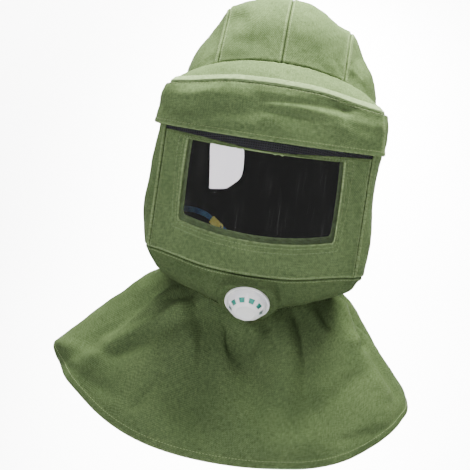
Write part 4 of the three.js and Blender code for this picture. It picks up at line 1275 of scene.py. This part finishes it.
def addValveParts():
    base = rounded(valve["base"], 0.5)
    addTurned("plastic_valve_base", base, whitePlastic, ["valve_base"])
    addTurned("plastic_valve_ring", rounded(valve["clip"]), whitePlastic, ["valve_ring"])
    tall = capHeight - valve["capFoot"]
    thick = valve["skinIn"] - valve["skinOut"]
    shell = []
    for height, radius in zip(*capRows.values()):
        sunk = (height - valve["capFoot"]) / tall
        shell.append((radius - valve["skinOut"], height - valve["skinOut"] * sunk))
    foot = valve["capFoot"]
    under = [(radius - thick, height - thick * (height - foot) / tall) for radius, height in shell]
    middle = [[(0.05, capHeight - valve[key])] for key in ("skinIn", "skinOut")]
    skin = middle[0] + under[::-1] + shell + middle[1]
    addTurned("rubber_valve_membrane", skin, tealRubber, ["valve_membrane"])


# The cap: a dome with ribs, a flat face, and a ring of small windows through its shoulder.
def addValveCap():
    climb = np.linspace(valve["capFoot"], capHeight, 62)
    radii = np.concatenate([curve(capRows, "radius", climb), np.linspace(valve["capRound"], 0.05, 16)[1:]])
    heights = np.concatenate([climb, np.full(15, capHeight)])
    sides, count = valve["sides"], len(radii)
    angle = np.linspace(0, 2 * np.pi, sides, endpoint=False)
    radius, height = np.repeat(radii[None], sides, 0), np.repeat(heights[None], sides, 0)
    rib = bell((angle / (2 * np.pi) * slotCount % 1 - 0.5) * 5)[:, None]
    rib = valve["rib"] * rib * ease(height, 3, 6)
    radius = radius + rib * (1 - ease(height, capHeight - 1.6, capHeight - 0.6))
    height = height - valve["dish"] * (1 - ease(radius, 8.6, 9.4))
    points = onValve(radius, np.repeat(angle[:, None], count, 1), height)
    faces = quads(sides + 1, count, True)
    column, level = faces // count % sides, heights[faces % count].mean(1)
    sector = (angle[column[:, 0]] + np.pi / sides) * slotCount / (2 * np.pi) % 1
    half = slotWidth / 2 / valve["shoulder"] * slotCount / (2 * np.pi)
    hole = (np.minimum(sector, 1 - sector) < half) & (np.abs(level - slotRise) < slotHeight / 2)
    faces = faces[~hole][:, ::-1]
    piece = addPiece("plastic_valve_cap", points, faces, whitePlastic, ["valve_cap"])
    thicken(piece, valve["capWall"])


lining = {
    "thick": 0.8, "cut": (680, 420), "front": 60, "back": 160, "foot": 2.94,
    "slack": (40, 1, 71), "share": 0.3,
}


# The lining follows the crown and the sides, and leaves the face open.
def addLining():
    front = np.linspace(-sideTurn, sideTurn, lining["front"])
    turns = np.concatenate([front, np.linspace(sideTurn, 2 * np.pi - sideTurn, lining["back"])[1:]])
    rows = np.concatenate([np.linspace(-2, -1, 50), np.linspace(-1, lining["foot"], 90)[1:]])
    grid = gridOf(oval, turns, rows)
    outward = facing(grid, True)
    outward[:, 0] = (0, 0, 1)
    slack = ripples(grid, *lining["slack"])[..., None] * (1 - bell((rows + 2)[None, :, None] * 8))
    grid = grid - outward * (liningInset + lining["share"] * slack)
    across, down = lengths(grid, 0), lengths(grid, 1)
    faces = quads(len(turns), len(rows), True)
    i, j = faces[:, 0] // len(rows), faces[:, 0] % len(rows)
    faces = faces[~((i < lining["front"] - 1) & (rows[j] >= -1))]
    cloth = np.stack([across, down], -1)[:-1]
    piece = addPiece(
        "cloth_lining", grid[:-1], faces, liningBlack, ["lining"], cloth, 0 * down[:-1],
    )
    thicken(piece, lining["thick"])
    declare(piece, *lining["cut"], "hung")


strap = {"thick": 1.2, "inset": crownTop + 2.6, "around": 361, "down": 7}
slider = {
    "turn": math.radians(-31),
    "half": 6.6, "wide": 3.9, "high": 1.7, "corner": 0.4, "sides": 32,
    "ridge": 0.35, "ridgeApart": 3,
    "hookReach": 2.6, "hookDrop": 3.4, "hookSides": 12,
}


# The chin strap: narrow webbing, thinner along its two selvedges.
def addStrap():
    turns = np.linspace(-np.pi, np.pi, strap["around"])
    grid = gridOf(strapPoint, turns, np.linspace(0, 1, strap["down"]))
    grid = grid - facing(grid, True) * strap["inset"]
    edge = lengths(grid, 1)
    thin = 0.25 * (bell(edge / 0.6) + bell((edge[:, -1:] - edge) / 0.6))
    grid = grid - facing(grid, True) * thin[..., None]
    addPanel(
        "webbing_strap", grid, webbingBlue, ["chin_strap"], 0 * edge,
        thick=strap["thick"], wrap=True,
    )
    addSlider(grid[np.argmin(np.abs(turns - slider["turn"])), 3])


# The slider: a ridged block round the strap, with a hook at its end.
def addSlider(middle):
    turn, sides = slider["turn"], slider["sides"]
    along = unit(strapPoint(np.array(turn + 0.05), 0.5) - strapPoint(np.array(turn - 0.05), 0.5))
    fall = unit(strapPoint(np.array(turn), 1.0) - strapPoint(np.array(turn), 0.0))
    out = unit(np.cross(fall, along))
    out = -out if out[1] > 0 else out
    across = np.cross(along, out)
    half = slider["half"]
    start, end = [-half, 0.1 - half, 0.3 - half], [half - 0.3, half - 0.1, half]
    run = np.concatenate([start, np.linspace(-6, 6, 49), end])
    full = np.clip((half + 0.3 - np.abs(run)) / 0.7, 0.4, 1) ** 0.5
    wave = np.cos(run * 2 * np.pi / slider["ridgeApart"])
    ridge = slider["ridge"] * np.maximum(wave, 0) ** 2 * (np.abs(run) < 5)
    turns = np.linspace(0, 2 * np.pi, sides, endpoint=False)
    cosine, sine = np.cos(turns), np.sin(turns)
    wide = (slider["wide"] - 0.05 * run)[:, None] * np.sign(cosine) * np.abs(cosine) ** slider["corner"]
    tall = (slider["high"] + ridge)[:, None] * np.sign(sine) * np.abs(sine) ** slider["corner"]
    block = middle + 0.4 * out + run[:, None, None] * along + (wide * full[:, None])[..., None] * across
    block = block + (tall * full[:, None])[..., None] * out
    bend = np.linspace(-0.9, 2.9, 32)[:, None]
    reach = along * slider["hookReach"] * np.cos(bend) * (1 + 0.1 * bend)
    hook = middle + 6.4 * along + reach - across * slider["hookDrop"] * np.sin(bend) + out * 0.5
    hookTube = tubeGrid(hook, np.linspace(1.1, 0.8, 32), slider["hookSides"])
    parts, faces, start = [], [], 0
    for tube, count in ((block, sides), (hookTube, slider["hookSides"])):
        faces += [tuple(k + start for k in face) for face in tubeFaces(len(tube), count)]
        parts.append(tube.reshape(-1, 3))
        start += len(tube) * count
    points = np.concatenate(parts)
    addPiece("plastic_slider", points, faces, yellowPlastic, ["strap_buckle"])


cape = {
    "around": 901, "down": 130, "cut": (1250, 170), "slack": [(55, 0.9, 81), (17, 0.22, 82)], "shade": 0.28,
    "hem": {"high": 0.8, "wide": 9.5, "step": 1.4, "drawn": 0.5, "stitches": 8, "round": 1.1},
    "stitches": [("bottom", 8), ("top", 2.8)],
}
capeFolds = table(
    foldColumns,
    (182, 314, 196, 352, 11, 4.5), (220, 300, 232, 340, 10, -6), (232, 340, 250, 368, 10, -5),
    (254, 330, 260, 360, 8, 2), (242, 368, 256, 402, 14, -2.6), (268, 306, 266, 322, 6, -6),
    (266, 322, 252, 346, 7, -3), (286, 326, 298, 358, 13, 2.6), (292, 306, 296, 320, 5, -3),
    (320, 300, 331, 318, 8, -8), (331, 318, 346, 330, 8, -3), (304, 340, 322, 396, 13, 4),
    (360, 376, 322, 406, 9, -2.6), (322, 406, 296, 424, 12, -1.4), (268, 374, 296, 396, 14, 2),
    (354, 308, 364, 342, 5, -5), (338, 298, 353, 340, 6, 5), (353, 340, 386, 392, 7, 4),
    (368, 346, 394, 394, 6, -3), (108, 342, 178, 308, 7, 5), (116, 354, 182, 322, 8, -3.5),
    (78, 352, 150, 316, 6, -3.5), (176, 298, 196, 292, 6, -5), (190, 304, 172, 316, 6, 4),
    (162, 378, 138, 404, 6, -3), (64, 364, 104, 390, 9, -3), (60, 344, 96, 356, 7, 3),
    (228, 410, 238, 416, 3, -0.9), (346, 440, 380, 430, 6, -1.6), (182, 352, 200, 400, 20, 7),
)


def addCape():
    turns = np.linspace(-np.pi, np.pi, cape["around"])
    grid = gridOf(capePoint, turns, close(cape["down"], 0.7))
    down, across = lengths(grid, 1), lengths(grid, 0)
    foot = down[:, -1:] - down
    waves = (slackOf(grid, cape["slack"]) + foldsOf(grid, capeFolds, -20)) * ease(down, 0, 20)
    pucker = 0.12 * gathers(across, 15, 4) * bell((foot - 12) / 6)
    rise = waves + hemmed(foot, cape["hem"]) + pucker + sewn(down, across, phase=7)
    grid = grid + facing(grid, True) * rise[..., None]
    # The hem is worn paler, and the whole cape is coloured darker as painted shade, as the hood's shadow
    # would make it.
    wearAndPaintedShade = np.clip(0.5 * bell(foot / 1.5) + seamTone(down, 0.3) - cape["shade"], -1, 1)
    piece = addPanel("canvas_cape", grid, canvasGreen, ["cape"], wearAndPaintedShade, wrap=True)
    declare(piece, *cape["cut"], "draped")
    topstitch("stitches_cape", grid, cape["stitches"])


for build in (
    addCrown, addSides, addBrow, addBrowNet, addBand, addFlap, addFace, addLens, addLip, addCorners, addChin,
    addValveParts, addValveCap, addLining, addStrap, addCape,
):
    build()
    print(build.__name__, "done")
for group in list(threads):
    addThreads(group, threadGreen)
print("stitches sewn")

studio = {
    "world": 0.26,
    "paper": {
        "halfWidth": 4500, "front": -3500, "bendStart": 1500, "bend": 1200, "floor": -1750, "top": 2500,
    },
    # place, target, size in metres, watts and colour
    "areas": {
        "key": ((-450, -1900, 600), (0, 0, -200), (1.6, 1.2), 19, (1, 1, 1)),
        "top": ((40, 130, 950), (0, -10, -100), (1.3, 0.45), 112, (0.98, 1, 0.86)),
        "fill": ((300, -1500, -1300), (0, 0, -250), (1.6, 1), 11, (1, 1, 1)),
    },
    "backdrop": {"energy": 2300, "spot_size": math.radians(62), "spot_blend": 0.7, "shadow_soft_size": 0.2},
    "backdropAside": 450,
    "cardAway": 1500, "cardColour": "#f4eef6", "cardLight": (27, 31),
}
# The lit card's outline as the window mirrors it: its left and right edges in pixels, by rows of pixels.
cardRows = table(
    "key left right",
    (137, 209.6, 243.6), (165, 209.2, 243.4), (175, 209, 241.4), (182, 208.9, 236), (188.5, 208.8, 225),
)


def addStaging(name, grid, material):
    mesh = bpy.data.meshes.new(name)
    mesh.from_pydata((grid.reshape(-1, 3) / 1000).tolist(), [], quads(*grid.shape[:2]).tolist())
    mesh.materials.append(material)
    mesh.polygons.foreach_set("use_smooth", [True] * len(mesh.polygons))
    made = bpy.data.objects.new(name, mesh)
    bpy.context.scene.collection.objects.link(made)
    return made


# Matt white paper, a floor that curves up behind.
def addPaper():
    material, tree = newMaterial("paperMattWhite")
    place = node(tree, "ShaderNodeTexCoord").outputs["Object"]
    fibre = uneven(tree, place, 3, 3)
    colour = node(tree, "ShaderNodeMix", colours("#f7f7f7", "#fdfdfd"), {factor: fibre}).outputs[mixedColour]
    finishMaterial(tree, {"Roughness": 0.95, "Specular IOR Level": 0.1}, {"Base Color": colour})
    paper = studio["paper"]
    start, bend, low = paper["bendStart"], paper["bend"], paper["floor"]
    floor = [(y, low) for y in np.linspace(paper["front"], start, 12)]
    turns = np.linspace(0, math.pi / 2, 20)[1:]
    curved = [(start + bend * math.sin(a), low + bend * (1 - math.cos(a))) for a in turns]
    wall = [(start + bend, z) for z in np.linspace(low + bend, paper["top"], 8)[1:]]
    line = np.array(floor + curved + wall)
    wide = np.linspace(-paper["halfWidth"], paper["halfWidth"], 12)[:, None]
    addStaging("paper", np.stack(np.broadcast_arrays(wide, line[:, 0], line[:, 1]), -1), material)


def aim(lamp, place, target):
    back = unit(np.array(place, float) - np.array(target, float))
    right = unit(np.cross(np.array([0, 0, 1.0]), back))
    lamp.matrix_world = poseOf(right, np.cross(back, right), back, place)
    bpy.context.scene.collection.objects.link(lamp)


def addLights():
    world = bpy.data.worlds.new("studio")
    world.use_nodes = True
    world.node_tree.nodes["Background"].inputs["Color"].default_value = (1, 1, 1, 1)
    world.node_tree.nodes["Background"].inputs["Strength"].default_value = studio["world"]
    bpy.context.scene.world = world
    for name, (place, target, size, watts, colour) in studio["areas"].items():
        light = bpy.data.lights.new(name, "AREA")
        light.shape = "RECTANGLE"
        light.size, light.size_y = size
        light.energy = watts
        light.color = colour
        aim(bpy.data.objects.new(name, light), place, target)
    for across in (-studio["backdropAside"], studio["backdropAside"]):
        lamp = bpy.data.lights.new("backdrop", "SPOT")
        for key, value in studio["backdrop"].items():
            setattr(lamp, key, value)
        aim(bpy.data.objects.new("backdrop", lamp), (across, 500, 900), (across * 1.2, 2600, -650))


# Where the line of sight through a pixel of the window is thrown back to.
def mirrored(x, y):
    u = (x - middleX) * math.cos(roll) + (y - middleY) * math.sin(roll)
    v = (y - middleY) * math.cos(roll) - (x - middleX) * math.sin(roll)
    sight = unit(lookAlong + lookRight * (u + eyeLeft) / focal + lookUp * (eyeBelow - v) / focal)
    place = eye + sight * eyeAway
    for _ in range(20):
        surface = cornerSetback * (place[0] / faceHalf) ** 2 - faceReach + canvas + 0.4
        place = place + sight * (surface - place[1]) / sight[1]
    normal = unit(np.array([place[0] * 2 * cornerSetback / faceHalf**2, -1, 0]))
    return place + (sight - 2 * (sight @ normal) * normal) * studio["cardAway"]


# The lit card that the window mirrors: a diffuser, a little uneven.
def addCard():
    grid = []
    for y in np.linspace(cardRows["key"][0], cardRows["key"][-1], 40):
        left, right = curve(cardRows, "left", y), curve(cardRows, "right", y)
        grid.append([mirrored(x, y) for x in np.linspace(left, right, 16)])
    material, tree = newMaterial("diffuserLit")
    place = node(tree, "ShaderNodeTexCoord").outputs["Object"]
    light = spans(0, 1, *studio["cardLight"])
    even = node(tree, "ShaderNodeMapRange", light, {"Value": uneven(tree, place, 120, 2)}).outputs[0]
    glow = {"Color": linear(studio["cardColour"])}
    glow = node(tree, "ShaderNodeEmission", glow, {"Strength": even}).outputs[0]
    node(tree, "ShaderNodeOutputMaterial", None, {"Surface": glow})
    card = addStaging("diffuser", np.array(grid), material)
    card.visible_camera = False  # only the window mirrors it


addPaper()
addLights()
addCard()
print("stage set")
